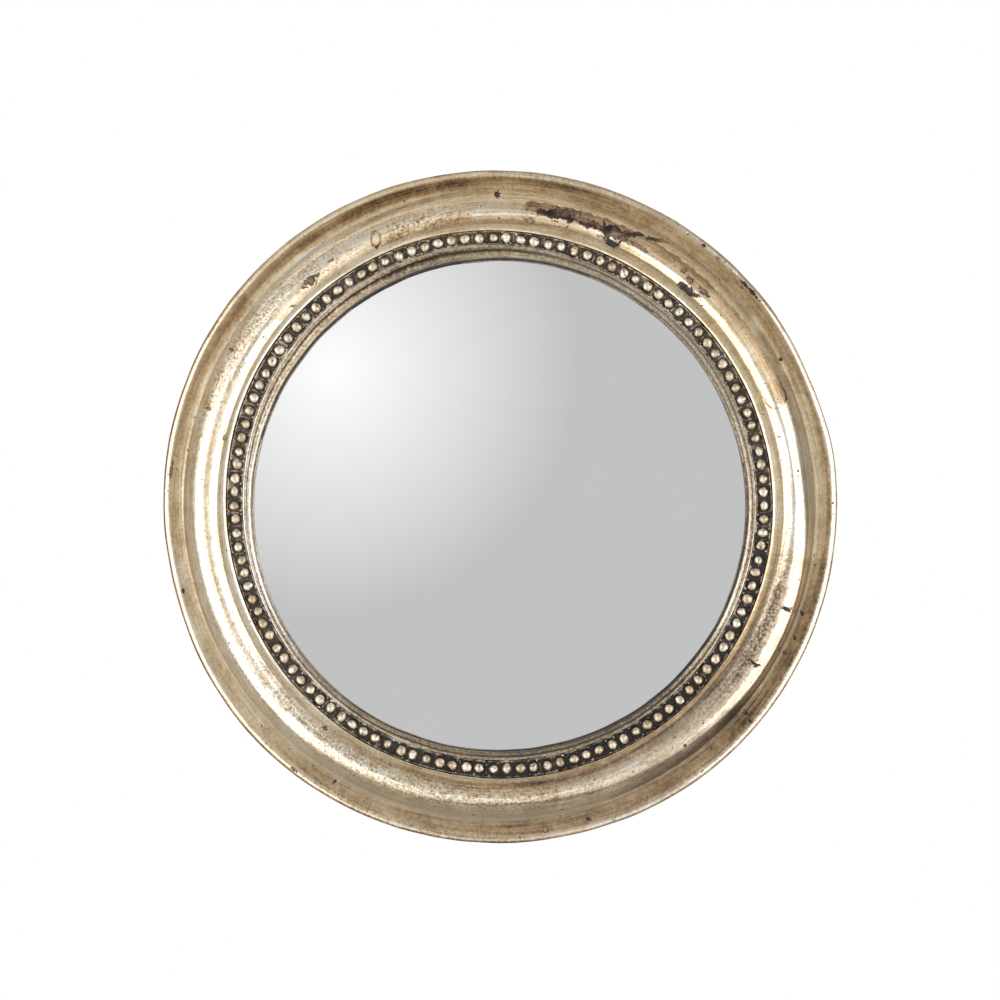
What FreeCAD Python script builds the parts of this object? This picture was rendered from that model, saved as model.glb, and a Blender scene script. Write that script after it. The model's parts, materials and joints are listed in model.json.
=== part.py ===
"""Round convex mirror in a silver-leafed, bead-moulded wooden frame, hung on a wall by a ring.

The frame is turned from two glued layers of sawn wooden segments with their joints staggered.
A pressed bead course lies in a channel beside the sight edge. The domed glass drops into a
rebate from behind and is held by a spacer ring, a backboard and four turn buttons.

Units are millimetres. Every piece is drawn about the mirror's own axis, which runs along Y with
the mirror facing -Y. A cross-section is drawn as (r, d): r is the distance from that axis and
d the distance from the wall. The finished pieces are then set down so that the origin is on
the wall, at the point where the hanging ring bears on its hook, with +Z up.
"""

import FreeCAD
import Part

import math
import os

V = FreeCAD.Vector

# Driving dimensions: the frame's face
OUTER_R = 150.0             # edge of the frame
SIGHT_R = 110.4             # edge of the visible glass
EDGE_R = 0.6                # where the rim turns down into the side
RIM_R = 7.0                 # the rounded rim
RIM_RIDGE_R = 1.0           # where the dish meets the rim
COVE_R = 0.6                # tight hollow where the dish meets the riser
RISER_FOOT_R = 139.9        # where the riser ends and that hollow begins
ROLL_CREST_R = 130.2        # where the large roll is highest
RIDGE_R = 2.2               # rounding of the roll's crest
FLANK_R = 12.7              # the roll's outer flank
SHOULDER_R = 2.0            # where that flank turns down into the riser
INNER_FLANK_R = 10.3        # the roll's flank towards the glass
BAND_COVE_R = 1.5           # hollow between that flank and the flat band
ARRIS_R = 120.9             # outer wall of the bead channel
ARRIS_EASE_R = 0.5          # rounded edge above that wall
CHANNEL_WIDTH = 7.3         # bead channel
FILLET_WIDTH = 1.1          # thin step inside the beads
QUIRK_WIDTH = 0.4           # groove beside that step
LIP_CROWN = 0.35            # how far the sloping lip swells between the quirk and the sight edge

# Driving dimensions: slopes in degrees of fall away from the roll's crest
RIDGE_SLOPE = 14.0          # ridge to flank
FLANK_SLOPE = 36.0          # outer flank to shoulder
RISER_SLOPE = 46.0          # riser above the dish
DISH_SLOPE = 6.0            # dish beside the riser, and as much the other way beside the rim
RIM_SLOPE = 16.0            # inner side of the rounded rim
EDGE_SLOPE = 32.0           # rim to edge
INNER_SLOPE = 36.0          # inner flank to the hollow below it
BAND_SLOPE = 5.0            # flat band beside the beads

# Driving dimensions: depths from the wall
WALL_GAP = 4.0              # thickness of the wall bumpers, so the depth of the wooden back face
BACK_LAYER = 8.0            # thickness of the back layer of segments
SEAT_D = 16.0               # front of the glass rebate
SIGHT_D = 18.4              # front of the sight edge
CHANNEL_D = 20.4            # floor of the bead channel
QUIRK_D = 21.3
FILLET_D = 22.0
CREST_D = 26.0
SIDE_TAPER = 1.0            # how much narrower the side is where the two layers meet

# Segments of the frame
SEGMENTS = 6
FRONT_JOINT_DEG = 20.0      # first joint of the moulded layer
BACK_JOINT_DEG = 50.0       # first joint of the back layer, staggered by half a segment

# Bead course
BEADS = 122
BEAD_R = 2.15
BEAD_SINK = 0.25            # how far a bead's centre lies inside its strip
STRIP_COUNT = 2
STRIP_THICK = 1.0
STRIP_CLEARANCE = 0.1       # glue line each side of the strip
STRIP_JOINT_DEG = 20.0

# Glass and what holds it
GLASS_SPHERE_R = 600.0      # front of the domed glass
GLASS_THICK = 3.0
GLASS_EDGE_R = 115.5
REBATE_R = 117.0
BEDDING_GAP = 0.6           # felt under the glass at the sight edge
BEDDING_INNER_R = 110.9
SPACER_INNER_R = 108.5
SPACER_OUTER_R = 115.2
CONTACT = 0.03              # air between the domed faces
BACKBOARD_R = 116.6
BACKBOARD_THICK = 3.0
BACKBOARD_CHAMFER = 0.6

# Turn buttons and wood screws
BUTTON_ANGLES_DEG = (30.0, 150.0, 210.0, 330.0)
BUTTON_PIVOT_R = 127.0
BUTTON_REACH = 18.5         # pivot to the centre of the tip
BUTTON_HEEL_R = 4.6
BUTTON_TIP_R = 3.2
BUTTON_THICK = 1.2
BUTTON_EASE = 0.3           # eased edges
BUTTON_LIFT = 0.15          # air under a button
BUTTON_HOLE_R = 1.58
SCREW_R = 1.5
SCREW_HEAD_R = 2.9
SCREW_HEAD_H = 1.5
SCREW_SLOT_WIDTH = 0.7
SCREW_SLOT_DEPTH = 0.6
SCREW_TIP_D = 11.2
SCREW_TAPER = 3.6           # length of the pointed end
PILOT_R = 1.53
PILOT_END_D = 11.6
HEAD_GAP = 0.06             # air under a screw head

# Hanging ring and its strap
STRAP_WIDTH = 9.4
STRAP_THICK = 1.6           # two leaves of sheet
STRAP_SHEET = 0.8
STRAP_SCREW_DROP = 7.5      # knuckle to screw
STRAP_END_DROP = 13.0       # knuckle to the strap's end
KNUCKLE_Z = 132.0           # above the mirror's axis
RING_WIRE_R = 0.9
RING_RUN_CLEARANCE = 0.08
RING_LEG_X = 6.9            # half the ring's width, at the middle of the wire
RING_CORNER_R = 1.7
RING_LEG_TOP = 4.6          # knuckle to the start of the bow

# Wall bumpers
BUMPER_R = 6.0
BUMPER_EDGE_R = 0.8
BUMPER_ANGLES_DEG = {"left": 240.0, "right": 300.0}
BUMPER_CIRCLE_R = 134.0

# Sizes that follow from these
JOINT_D = WALL_GAP + BACK_LAYER
CHANNEL_INNER_R = ARRIS_R - CHANNEL_WIDTH
BEAD_CIRCLE_R = ARRIS_R - CHANNEL_WIDTH / 2
SPHERE_CENTRE_D = SEAT_D - BEDDING_GAP - math.sqrt(GLASS_SPHERE_R**2 - SIGHT_R**2)
JOINT_OUTER_R = OUTER_R - SIDE_TAPER
KNUCKLE_BORE_R = RING_WIRE_R + RING_RUN_CLEARANCE
KNUCKLE_R = KNUCKLE_BORE_R + STRAP_SHEET
KNUCKLE_D = WALL_GAP - KNUCKLE_R
HOOK_Z = KNUCKLE_Z + RING_LEG_TOP + RING_LEG_X - RING_WIRE_R
TO_ROW_FRAME = V(0, 0, -HOOK_Z)

MIRROR_AXIS = V(0, -1, 0)   # turning about it runs anticlockwise as the mirror is looked at


def at(r, d):
    """A point of a cross-section: r from the mirror's axis, d from the wall."""
    return V(r, -d, 0)


def line(start, end):
    return Part.LineSegment(start, end).toShape()


def arc(start, middle, end):
    return Part.Arc(start, middle, end).toShape()


def section(edges):
    """The flat face inside a closed run of edges."""
    return Part.Face(Part.Wire(Part.__sortEdges__(edges)))


def polygon_edges(points):
    return [line(a, b) for a, b in zip(points, points[1:])]


def turned(face, start_deg=0.0, sweep_deg=360.0):
    """A cross-section swept about the mirror's axis."""
    placed = face.copy()
    placed.rotate(V(0, 0, 0), MIRROR_AXIS, start_deg)
    return placed.revolve(V(0, 0, 0), MIRROR_AXIS, sweep_deg)


def on_circle(r, d, angle_deg):
    """A point at that angle round the mirror's axis, 0 to the right and 90 at the top."""
    a = math.radians(angle_deg)
    return V(r * math.cos(a), -d, r * math.sin(a))


def towards_wall(radius, from_d, to_d, r, angle_deg):
    """A round bar along the mirror's axis, from one depth to another."""
    foot = on_circle(r, from_d, angle_deg)
    return Part.makeCylinder(radius, from_d - to_d, foot, V(0, 1, 0))


def dome_d(sphere_r, r):
    """Depth of a dome of that radius, at a distance from the mirror's axis."""
    return SPHERE_CENTRE_D + math.sqrt(sphere_r**2 - r**2)


def dome_arc(sphere_r, r_from, r_to):
    r_middle = (r_from + r_to) / 2
    points = [at(r, dome_d(sphere_r, r)) for r in (r_from, r_middle, r_to)]
    return arc(*points)


# Wooden frame

def bend(start, radius, from_slope, to_slope, side):
    """An arc of the section and its end, on the roll's outer side (1) or inner side (-1).

    Slopes are degrees of fall away from the roll's crest. Where the slope lessens, the arc is hollow.
    """
    reach = math.copysign(radius, to_slope - from_slope)

    def spoke(slope):
        a = math.radians(slope)
        return V(side * reach * math.sin(a), -reach * math.cos(a), 0)

    centre = start - spoke(from_slope)
    middle = centre + spoke((from_slope + to_slope) / 2)
    end = centre + spoke(to_slope)
    return arc(start, middle, end), end


def rim_reach():
    """How far the rim reaches outwards, from the dish to the side."""
    dish, rim, edge = (math.sin(math.radians(s)) for s in (DISH_SLOPE, RIM_SLOPE, EDGE_SLOPE))
    return RIM_RIDGE_R * (rim + dish) + RIM_R * (edge - rim) + EDGE_R * (1 - edge)


def outer_face():
    """From the roll's crest down its outer flank and the riser, across the dish and over the rim."""
    riser = math.radians(RISER_SLOPE)
    crest = at(ROLL_CREST_R, CREST_D)
    ridge, ridge_end = bend(crest, RIDGE_R, 0, RIDGE_SLOPE, 1)
    flank, flank_end = bend(ridge_end, FLANK_R, RIDGE_SLOPE, FLANK_SLOPE, 1)
    shoulder, riser_top = bend(flank_end, SHOULDER_R, FLANK_SLOPE, RISER_SLOPE, 1)
    riser_drop = (RISER_FOOT_R - riser_top.x) * math.tan(riser)
    riser_foot = at(RISER_FOOT_R, -riser_top.y - riser_drop)
    cove, dish_start = bend(riser_foot, COVE_R, RISER_SLOPE, DISH_SLOPE, 1)
    dish_width = OUTER_R - rim_reach() - dish_start.x
    dish_r = dish_width / 2 / math.sin(math.radians(DISH_SLOPE))
    dish, dish_end = bend(dish_start, dish_r, DISH_SLOPE, -DISH_SLOPE, 1)
    rim_ridge, rim_start = bend(dish_end, RIM_RIDGE_R, -DISH_SLOPE, RIM_SLOPE, 1)
    rim, rim_end = bend(rim_start, RIM_R, RIM_SLOPE, EDGE_SLOPE, 1)
    edge, side_top = bend(rim_end, EDGE_R, EDGE_SLOPE, 90, 1)
    side = line(side_top, at(JOINT_OUTER_R, JOINT_D))
    return [ridge, flank, shoulder, line(riser_top, riser_foot), cove, dish, rim_ridge, rim, edge, side]


def inner_face():
    """From the roll's crest across the band, the bead channel, the fillet, the quirk and the lip."""
    band = math.radians(BAND_SLOPE)
    crest = at(ROLL_CREST_R, CREST_D)
    ridge, ridge_end = bend(crest, RIDGE_R, 0, RIDGE_SLOPE, -1)
    flank, flank_end = bend(ridge_end, INNER_FLANK_R, RIDGE_SLOPE, INNER_SLOPE, -1)
    hollow, band_start = bend(flank_end, BAND_COVE_R, INNER_SLOPE, BAND_SLOPE, -1)
    band_end_r = ARRIS_R + ARRIS_EASE_R * (1 - math.sin(band))
    band_end = at(band_end_r, -band_start.y - (band_start.x - band_end_r) * math.tan(band))
    arris, channel_top = bend(band_end, ARRIS_EASE_R, BAND_SLOPE, 90, -1)

    fillet_inner_r = CHANNEL_INNER_R - FILLET_WIDTH
    quirk_inner_r = fillet_inner_r - QUIRK_WIDTH
    lip_slope = math.atan2(QUIRK_D - SIGHT_D, quirk_inner_r - SIGHT_R)
    lip_top = at(quirk_inner_r, QUIRK_D)
    lip_middle = at(
        (quirk_inner_r + SIGHT_R) / 2 - LIP_CROWN * math.sin(lip_slope),
        (QUIRK_D + SIGHT_D) / 2 + LIP_CROWN * math.cos(lip_slope),
    )
    sight_edge = at(SIGHT_R, SIGHT_D)
    steps = [
        channel_top,
        at(ARRIS_R, CHANNEL_D),
        at(CHANNEL_INNER_R, CHANNEL_D),
        at(CHANNEL_INNER_R, FILLET_D),
        at(fillet_inner_r, FILLET_D),
        at(fillet_inner_r, QUIRK_D),
        lip_top,
    ]
    lip = arc(lip_top, lip_middle, sight_edge)
    return [ridge, flank, hollow, line(band_start, band_end), arris] + polygon_edges(steps) + [lip]


def moulding_section():
    """The turned face, closed by the glass rebate and the glued back."""
    rebate = [
        at(SIGHT_R, SIGHT_D),
        at(SIGHT_R, SEAT_D),
        at(REBATE_R, SEAT_D),
        at(REBATE_R, JOINT_D),
        at(JOINT_OUTER_R, JOINT_D),
    ]
    return section(outer_face() + inner_face() + polygon_edges(rebate))


def back_layer_section():
    corners = [
        at(REBATE_R, WALL_GAP),
        at(REBATE_R, JOINT_D),
        at(JOINT_OUTER_R, JOINT_D),
        at(JOINT_OUTER_R, WALL_GAP),
        at(REBATE_R, WALL_GAP),
    ]
    return section(polygon_edges(corners))


def moulding_segments():
    face = moulding_section()
    sweep = 360.0 / SEGMENTS
    return {
        f"moulding_segment_{i + 1}": turned(face, FRONT_JOINT_DEG + i * sweep, sweep)
        for i in range(SEGMENTS)
    }


def back_segments():
    """The back layer, drilled for the screws of the turn buttons and of the strap."""
    face = back_layer_section()
    sweep = 360.0 / SEGMENTS
    places = [(BUTTON_PIVOT_R, angle) for angle in BUTTON_ANGLES_DEG]
    places.append((KNUCKLE_Z - STRAP_SCREW_DROP, 90.0))
    pilots = Part.makeCompound(
        [towards_wall(PILOT_R, PILOT_END_D, WALL_GAP, r, angle) for r, angle in places]
    )
    return {
        f"back_segment_{i + 1}": turned(face, BACK_JOINT_DEG + i * sweep, sweep).cut(pilots)
        for i in range(SEGMENTS)
    }


# Bead course

def bead_strips():
    """Pressed strips of beads, bent into the channel end to end."""
    inner_r = CHANNEL_INNER_R + STRIP_CLEARANCE
    outer_r = ARRIS_R - STRIP_CLEARANCE
    top_d = CHANNEL_D + STRIP_THICK
    bed = section(
        polygon_edges(
            [
                at(inner_r, CHANNEL_D),
                at(outer_r, CHANNEL_D),
                at(outer_r, top_d),
                at(inner_r, top_d),
                at(inner_r, CHANNEL_D),
            ]
        )
    )
    sweep = 360.0 / STRIP_COUNT
    pitch = 360.0 / BEADS
    beads = []
    for i in range(BEADS // STRIP_COUNT):
        angle = STRIP_JOINT_DEG + (i + 0.5) * pitch
        foot = on_circle(BEAD_CIRCLE_R, CHANNEL_D, angle)
        centre = on_circle(BEAD_CIRCLE_R, top_d - BEAD_SINK, angle)
        ball = Part.makeSphere(BEAD_R, centre, MIRROR_AXIS)
        beads.append(ball.common(Part.makeCylinder(BEAD_R, 2 * BEAD_R, foot, MIRROR_AXIS)))
    strip = turned(bed, STRIP_JOINT_DEG, sweep).multiFuse(beads).removeSplitter()
    strips = {}
    for i in range(STRIP_COUNT):
        piece = strip.copy()
        piece.rotate(V(0, 0, 0), MIRROR_AXIS, i * sweep)
        strips[f"bead_strip_{i + 1}"] = piece
    return strips


# Glass, bedding, spacer and backboard

def convex_glass():
    back_r = GLASS_SPHERE_R - GLASS_THICK
    front_apex = at(0, dome_d(GLASS_SPHERE_R, 0))
    back_apex = at(0, dome_d(back_r, 0))
    front_edge = at(GLASS_EDGE_R, dome_d(GLASS_SPHERE_R, GLASS_EDGE_R))
    back_edge = at(GLASS_EDGE_R, dome_d(back_r, GLASS_EDGE_R))
    return turned(
        section(
            [
                dome_arc(GLASS_SPHERE_R, 0, GLASS_EDGE_R),
                line(front_edge, back_edge),
                dome_arc(back_r, GLASS_EDGE_R, 0),
                line(back_apex, front_apex),
            ]
        )
    )


def wedge_ring(sphere_r, inner_r, outer_r, flat_d):
    """A ring with one flat face and one that follows a dome."""
    return turned(
        section(
            [
                dome_arc(sphere_r, inner_r, outer_r),
                line(at(outer_r, dome_d(sphere_r, outer_r)), at(outer_r, flat_d)),
                line(at(outer_r, flat_d), at(inner_r, flat_d)),
                line(at(inner_r, flat_d), at(inner_r, dome_d(sphere_r, inner_r))),
            ]
        )
    )


def felt_bedding():
    return wedge_ring(GLASS_SPHERE_R + CONTACT, BEDDING_INNER_R, GLASS_EDGE_R, SEAT_D)


def spacer_ring():
    back_r = GLASS_SPHERE_R - GLASS_THICK - CONTACT
    return wedge_ring(back_r, SPACER_INNER_R, SPACER_OUTER_R, WALL_GAP + BACKBOARD_THICK)


def backboard():
    front_d = WALL_GAP + BACKBOARD_THICK
    return turned(
        section(
            polygon_edges(
                [
                    at(0, WALL_GAP),
                    at(BACKBOARD_R - BACKBOARD_CHAMFER, WALL_GAP),
                    at(BACKBOARD_R, WALL_GAP + BACKBOARD_CHAMFER),
                    at(BACKBOARD_R, front_d),
                    at(0, front_d),
                    at(0, WALL_GAP),
                ]
            )
        )
    )


# Turn buttons and wood screws

def turn_button(angle_deg):
    """A flat tapered tongue, drawn at the right of the mirror and then turned into place."""
    front_d = WALL_GAP - BUTTON_LIFT
    pivot_x = BUTTON_PIVOT_R
    tip_x = BUTTON_PIVOT_R - BUTTON_REACH
    lean = math.asin((BUTTON_HEEL_R - BUTTON_TIP_R) / BUTTON_REACH)

    def rim(x, radius, side):
        return V(x - radius * math.sin(lean), -front_d, side * radius * math.cos(lean))

    heel_end = V(pivot_x + BUTTON_HEEL_R, -front_d, 0)
    tip_end = V(tip_x - BUTTON_TIP_R, -front_d, 0)
    heel_up, heel_down = (rim(pivot_x, BUTTON_HEEL_R, side) for side in (1, -1))
    tip_up, tip_down = (rim(tip_x, BUTTON_TIP_R, side) for side in (1, -1))
    outline = section(
        [
            arc(heel_up, heel_end, heel_down),
            line(heel_down, tip_down),
            arc(tip_down, tip_end, tip_up),
            line(tip_up, heel_up),
        ]
    )
    tongue = outline.extrude(V(0, BUTTON_THICK, 0))
    tongue = tongue.makeFillet(BUTTON_EASE, tongue.Edges)
    tongue = tongue.cut(towards_wall(BUTTON_HOLE_R, SEAT_D, 0, BUTTON_PIVOT_R, 0.0))
    tongue.rotate(V(0, 0, 0), MIRROR_AXIS, angle_deg)
    return tongue


def wood_screw(head_d, r, angle_deg):
    """Round-headed slotted screw whose head bears at a given depth."""
    head_top_d = head_d - SCREW_HEAD_H
    shoulder_d = SCREW_TIP_D - SCREW_TAPER
    dome_r = (SCREW_HEAD_R**2 + SCREW_HEAD_H**2) / (2 * SCREW_HEAD_H)
    dome_middle_r = SCREW_HEAD_R / 2
    dome_middle_d = head_top_d + dome_r - math.sqrt(dome_r**2 - dome_middle_r**2)
    head_edge = at(SCREW_HEAD_R, head_d)
    screw = turned(
        section(
            [arc(at(0, head_top_d), at(dome_middle_r, dome_middle_d), head_edge)]
            + polygon_edges(
                [
                    head_edge,
                    at(SCREW_R, head_d),
                    at(SCREW_R, shoulder_d),
                    at(0, SCREW_TIP_D),
                    at(0, head_top_d),
                ]
            )
        )
    )
    slot = Part.makeBox(
        2 * SCREW_HEAD_R,
        SCREW_SLOT_DEPTH,
        SCREW_SLOT_WIDTH,
        V(-SCREW_HEAD_R, -head_top_d - SCREW_SLOT_DEPTH, -SCREW_SLOT_WIDTH / 2),
    )
    screw = screw.cut(slot)
    screw.rotate(V(0, 0, 0), MIRROR_AXIS, angle_deg)
    screw.translate(on_circle(r, 0, angle_deg))
    return screw


def turn_button_screws():
    head_d = WALL_GAP - BUTTON_LIFT - BUTTON_THICK - HEAD_GAP
    return Part.makeCompound(
        [wood_screw(head_d, BUTTON_PIVOT_R, angle) for angle in BUTTON_ANGLES_DEG]
    )


def hanger_screw():
    return wood_screw(WALL_GAP - STRAP_THICK, KNUCKLE_Z - STRAP_SCREW_DROP, 90.0)


# Hanging ring and strap

def hanger_strap():
    """Sheet folded round the ring's bar, with both leaves held by one screw."""
    end_r = STRAP_WIDTH / 2
    leaf_height = STRAP_END_DROP - end_r
    leaf_low_z = KNUCKLE_Z - leaf_height
    back_y = -WALL_GAP
    leaf = Part.makeBox(STRAP_WIDTH, STRAP_THICK, leaf_height, V(-end_r, back_y, leaf_low_z))
    round_end = Part.makeCylinder(end_r, STRAP_THICK, V(0, back_y, leaf_low_z), V(0, 1, 0))
    knuckle_foot = V(-end_r, -KNUCKLE_D, KNUCKLE_Z)
    knuckle = Part.makeCylinder(KNUCKLE_R, STRAP_WIDTH, knuckle_foot, V(1, 0, 0))
    bore = Part.makeCylinder(KNUCKLE_BORE_R, STRAP_WIDTH, knuckle_foot, V(1, 0, 0))
    hole = towards_wall(BUTTON_HOLE_R, SEAT_D, 0, KNUCKLE_Z - STRAP_SCREW_DROP, 90.0)
    return leaf.multiFuse([round_end, knuckle]).cut(bore).cut(hole).removeSplitter()


def hanger_ring():
    """D-shaped wire: a straight bar in the knuckle, two corners, two legs and a round bow."""
    bar_x = RING_LEG_X - RING_CORNER_R
    corner_z = KNUCKLE_Z + RING_CORNER_R
    leg_top_z = KNUCKLE_Z + RING_LEG_TOP
    diagonal = RING_CORNER_R * math.sqrt(0.5)

    def point(x, z):
        return V(x, -KNUCKLE_D, z)

    def corner(side):
        start = point(side * bar_x, KNUCKLE_Z)
        middle = point(side * (bar_x + diagonal), corner_z - diagonal)
        return arc(start, middle, point(side * RING_LEG_X, corner_z))

    path = Part.Wire(
        Part.__sortEdges__(
            [
                line(point(-bar_x, KNUCKLE_Z), point(bar_x, KNUCKLE_Z)),
                corner(1),
                line(point(RING_LEG_X, corner_z), point(RING_LEG_X, leg_top_z)),
                arc(
                    point(RING_LEG_X, leg_top_z),
                    point(0, leg_top_z + RING_LEG_X),
                    point(-RING_LEG_X, leg_top_z),
                ),
                line(point(-RING_LEG_X, leg_top_z), point(-RING_LEG_X, corner_z)),
                corner(-1),
            ]
        )
    )
    start = path.OrderedVertexes[0].Point
    tangent = path.OrderedEdges[0].tangentAt(path.OrderedEdges[0].FirstParameter)
    wire_section = Part.Wire(Part.makeCircle(RING_WIRE_R, start, tangent))
    return path.makePipeShell([wire_section], True, False)


# Wall bumpers

def wall_bumper(angle_deg):
    foot = on_circle(BUMPER_CIRCLE_R, WALL_GAP, angle_deg)
    pad = Part.makeCylinder(BUMPER_R, WALL_GAP, foot, V(0, 1, 0))
    outer_edges = [e for e in pad.Edges if e.BoundBox.YMin > -BUMPER_EDGE_R]
    return pad.makeFillet(BUMPER_EDGE_R, outer_edges)


def all_pieces():
    pieces = {}
    pieces.update(moulding_segments())
    pieces.update(back_segments())
    pieces.update(bead_strips())
    pieces["convex_glass"] = convex_glass()
    pieces["felt_bedding"] = felt_bedding()
    pieces["spacer_ring"] = spacer_ring()
    pieces["backboard"] = backboard()
    for i, angle in enumerate(BUTTON_ANGLES_DEG):
        pieces[f"turn_button_{i + 1}"] = turn_button(angle)
    pieces["turn_button_screws"] = turn_button_screws()
    pieces["hanger_strap"] = hanger_strap()
    pieces["hanger_ring"] = hanger_ring()
    pieces["hanger_screw"] = hanger_screw()
    for side, angle in BUMPER_ANGLES_DEG.items():
        pieces[f"wall_bumper_{side}"] = wall_bumper(angle)
    return pieces


def main():
    os.makedirs("parts", exist_ok=True)
    for name, shape in all_pieces().items():
        shape.translate(TO_ROW_FRAME)
        solids = shape.Solids
        sound = shape.isValid() and all(s.isClosed() and s.Volume > 0 for s in solids)
        print(f"{name}: {len(solids)} solid(s), {shape.Volume:.1f} mm3, sound {sound}")
        shape.exportStep(f"parts/{name}.step")
    print(f"mirror axis {HOOK_Z:.2f} mm below the hook, bead circle {BEAD_CIRCLE_R:.2f} mm")


main()
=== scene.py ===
"""Round convex mirror: a turned wooden frame under toned silver leaf, a bead course and a domed glass.

The pieces follow in the order in which the mirror is put together, and then the studio round it.
Lengths are metres in the row's frame unless a name says mm. The mirror faces -Y and +Z is up.
Angles round the mirror are degrees, anticlockwise as it is looked at, from 0 at its right.
"""

import json
import math

import bpy
import numpy as np
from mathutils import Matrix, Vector


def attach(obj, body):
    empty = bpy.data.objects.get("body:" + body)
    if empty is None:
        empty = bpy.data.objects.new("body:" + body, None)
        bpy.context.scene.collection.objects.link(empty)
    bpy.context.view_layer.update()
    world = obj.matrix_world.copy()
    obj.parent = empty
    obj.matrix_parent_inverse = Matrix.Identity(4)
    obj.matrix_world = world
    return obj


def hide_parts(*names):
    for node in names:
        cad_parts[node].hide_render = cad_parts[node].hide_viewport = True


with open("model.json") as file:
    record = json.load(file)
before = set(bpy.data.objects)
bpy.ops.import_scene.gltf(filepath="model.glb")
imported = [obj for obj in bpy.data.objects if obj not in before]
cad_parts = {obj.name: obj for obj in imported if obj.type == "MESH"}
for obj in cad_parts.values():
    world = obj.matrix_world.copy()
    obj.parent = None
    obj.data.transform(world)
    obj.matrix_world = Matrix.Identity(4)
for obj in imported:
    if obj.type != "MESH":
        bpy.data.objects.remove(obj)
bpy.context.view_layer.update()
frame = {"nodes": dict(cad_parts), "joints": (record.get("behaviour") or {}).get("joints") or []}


# Moulding: the front of the frame, six sawn segments of limewood, glued into a ring and turned to a
# rim, a dish, a riser, a large roll, a flat band, an arris, a bead channel, a fillet and a sloping
# lip. Over the wood lie gesso and red bole, and over those silver leaf under a warm lacquer.

pivots = [j["pos_m"] for j in frame["joints"] if j["name"].startswith("turn_button")]
AXIS_Z = sum(p[2] for p in pivots) / len(pivots)

# Distances from the mirror's axis.
OUTER_MM = 150.0
JOINT_OUTER_MM = 149.0
RISER_FOOT_MM = 139.9
ROLL_CREST_MM = 130.2
ARRIS_MM = 120.9
REBATE_MM = 117.0
CHANNEL_MM = 113.6
FILLET_MM = 112.5
QUIRK_MM = 112.1
SIGHT_MM = 110.4
BEAD_CIRCLE_MM = (ARRIS_MM + CHANNEL_MM) / 2

# Distances from the wall.
CREST_DEPTH_MM = 26.0
FILLET_DEPTH_MM = 22.0
QUIRK_DEPTH_MM = 21.3
CHANNEL_DEPTH_MM = 20.4
SIGHT_DEPTH_MM = 18.4
SEAT_DEPTH_MM = 16.0
JOINT_DEPTH_MM = 12.0

# Radii of the arcs across the face, from its outer edge to the arris, and how far the lip swells.
EDGE_MM = 0.6
RIM_MM = 7.0
RIM_RIDGE_MM = 1.0
COVE_MM = 0.6
SHOULDER_MM = 2.0
FLANK_MM = 13.2
RIDGE_MM = 1.4
INNER_FLANK_MM = 10.8
BAND_COVE_MM = 1.5
ARRIS_WORN_MM = 3.6
ARRIS_EASE_MM = 0.6
LIP_CROWN_MM = 0.35

# Slopes in degrees where those arcs meet.
RIDGE_SLOPE, FLANK_SLOPE, RISER_SLOPE = 14.0, 36.0, 46.0
DISH_SLOPE, RIM_SLOPE, EDGE_SLOPE = 6.0, 16.0, 32.0
INNER_SLOPE, BAND_SLOPE, ARRIS_SLOPE = 36.0, 5.0, 30.0

ARC_POINTS = 24
LIP_POINTS = 15
GESSO_SOFTENS_MM = 0.18
TURNING_STEPS = 1000


def bend_mm(run, radius, from_slope, to_slope, side):
    """Carries a run of (radius, depth) points on by an arc, which is hollow where its slope lessens.

    A slope is degrees of fall away from the roll's crest, to its outer side (1) or its inner side (-1).
    """
    reach = math.copysign(radius, to_slope - from_slope)
    start_r, start_d = run[-1]
    slopes = np.radians(np.linspace(from_slope, to_slope, ARC_POINTS))
    for a in slopes[1:]:
        run.append((start_r + side * reach * (math.sin(a) - math.sin(slopes[0])),
                    start_d + reach * (math.cos(a) - math.cos(slopes[0]))))


def outer_face_mm():
    """From the roll's crest down its outer flank and the riser, across the dish and over the rim."""
    run = [(ROLL_CREST_MM, CREST_DEPTH_MM)]
    bend_mm(run, RIDGE_MM, 0, RIDGE_SLOPE, 1)
    bend_mm(run, FLANK_MM, RIDGE_SLOPE, FLANK_SLOPE, 1)
    bend_mm(run, SHOULDER_MM, FLANK_SLOPE, RISER_SLOPE, 1)
    riser_top_r, riser_top_d = run[-1]
    riser_fall = (RISER_FOOT_MM - riser_top_r) * math.tan(math.radians(RISER_SLOPE))
    run.append((RISER_FOOT_MM, riser_top_d - riser_fall))
    bend_mm(run, COVE_MM, RISER_SLOPE, DISH_SLOPE, 1)
    dish, rim, edge = (math.sin(math.radians(s)) for s in (DISH_SLOPE, RIM_SLOPE, EDGE_SLOPE))
    rim_reach = RIM_RIDGE_MM * (rim + dish) + RIM_MM * (edge - rim) + EDGE_MM * (1 - edge)
    bend_mm(run, (OUTER_MM - rim_reach - run[-1][0]) / 2 / dish, DISH_SLOPE, -DISH_SLOPE, 1)
    bend_mm(run, RIM_RIDGE_MM, -DISH_SLOPE, RIM_SLOPE, 1)
    bend_mm(run, RIM_MM, RIM_SLOPE, EDGE_SLOPE, 1)
    bend_mm(run, EDGE_MM, EDGE_SLOPE, 90, 1)
    return run + [(JOINT_OUTER_MM, JOINT_DEPTH_MM)]


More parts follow.
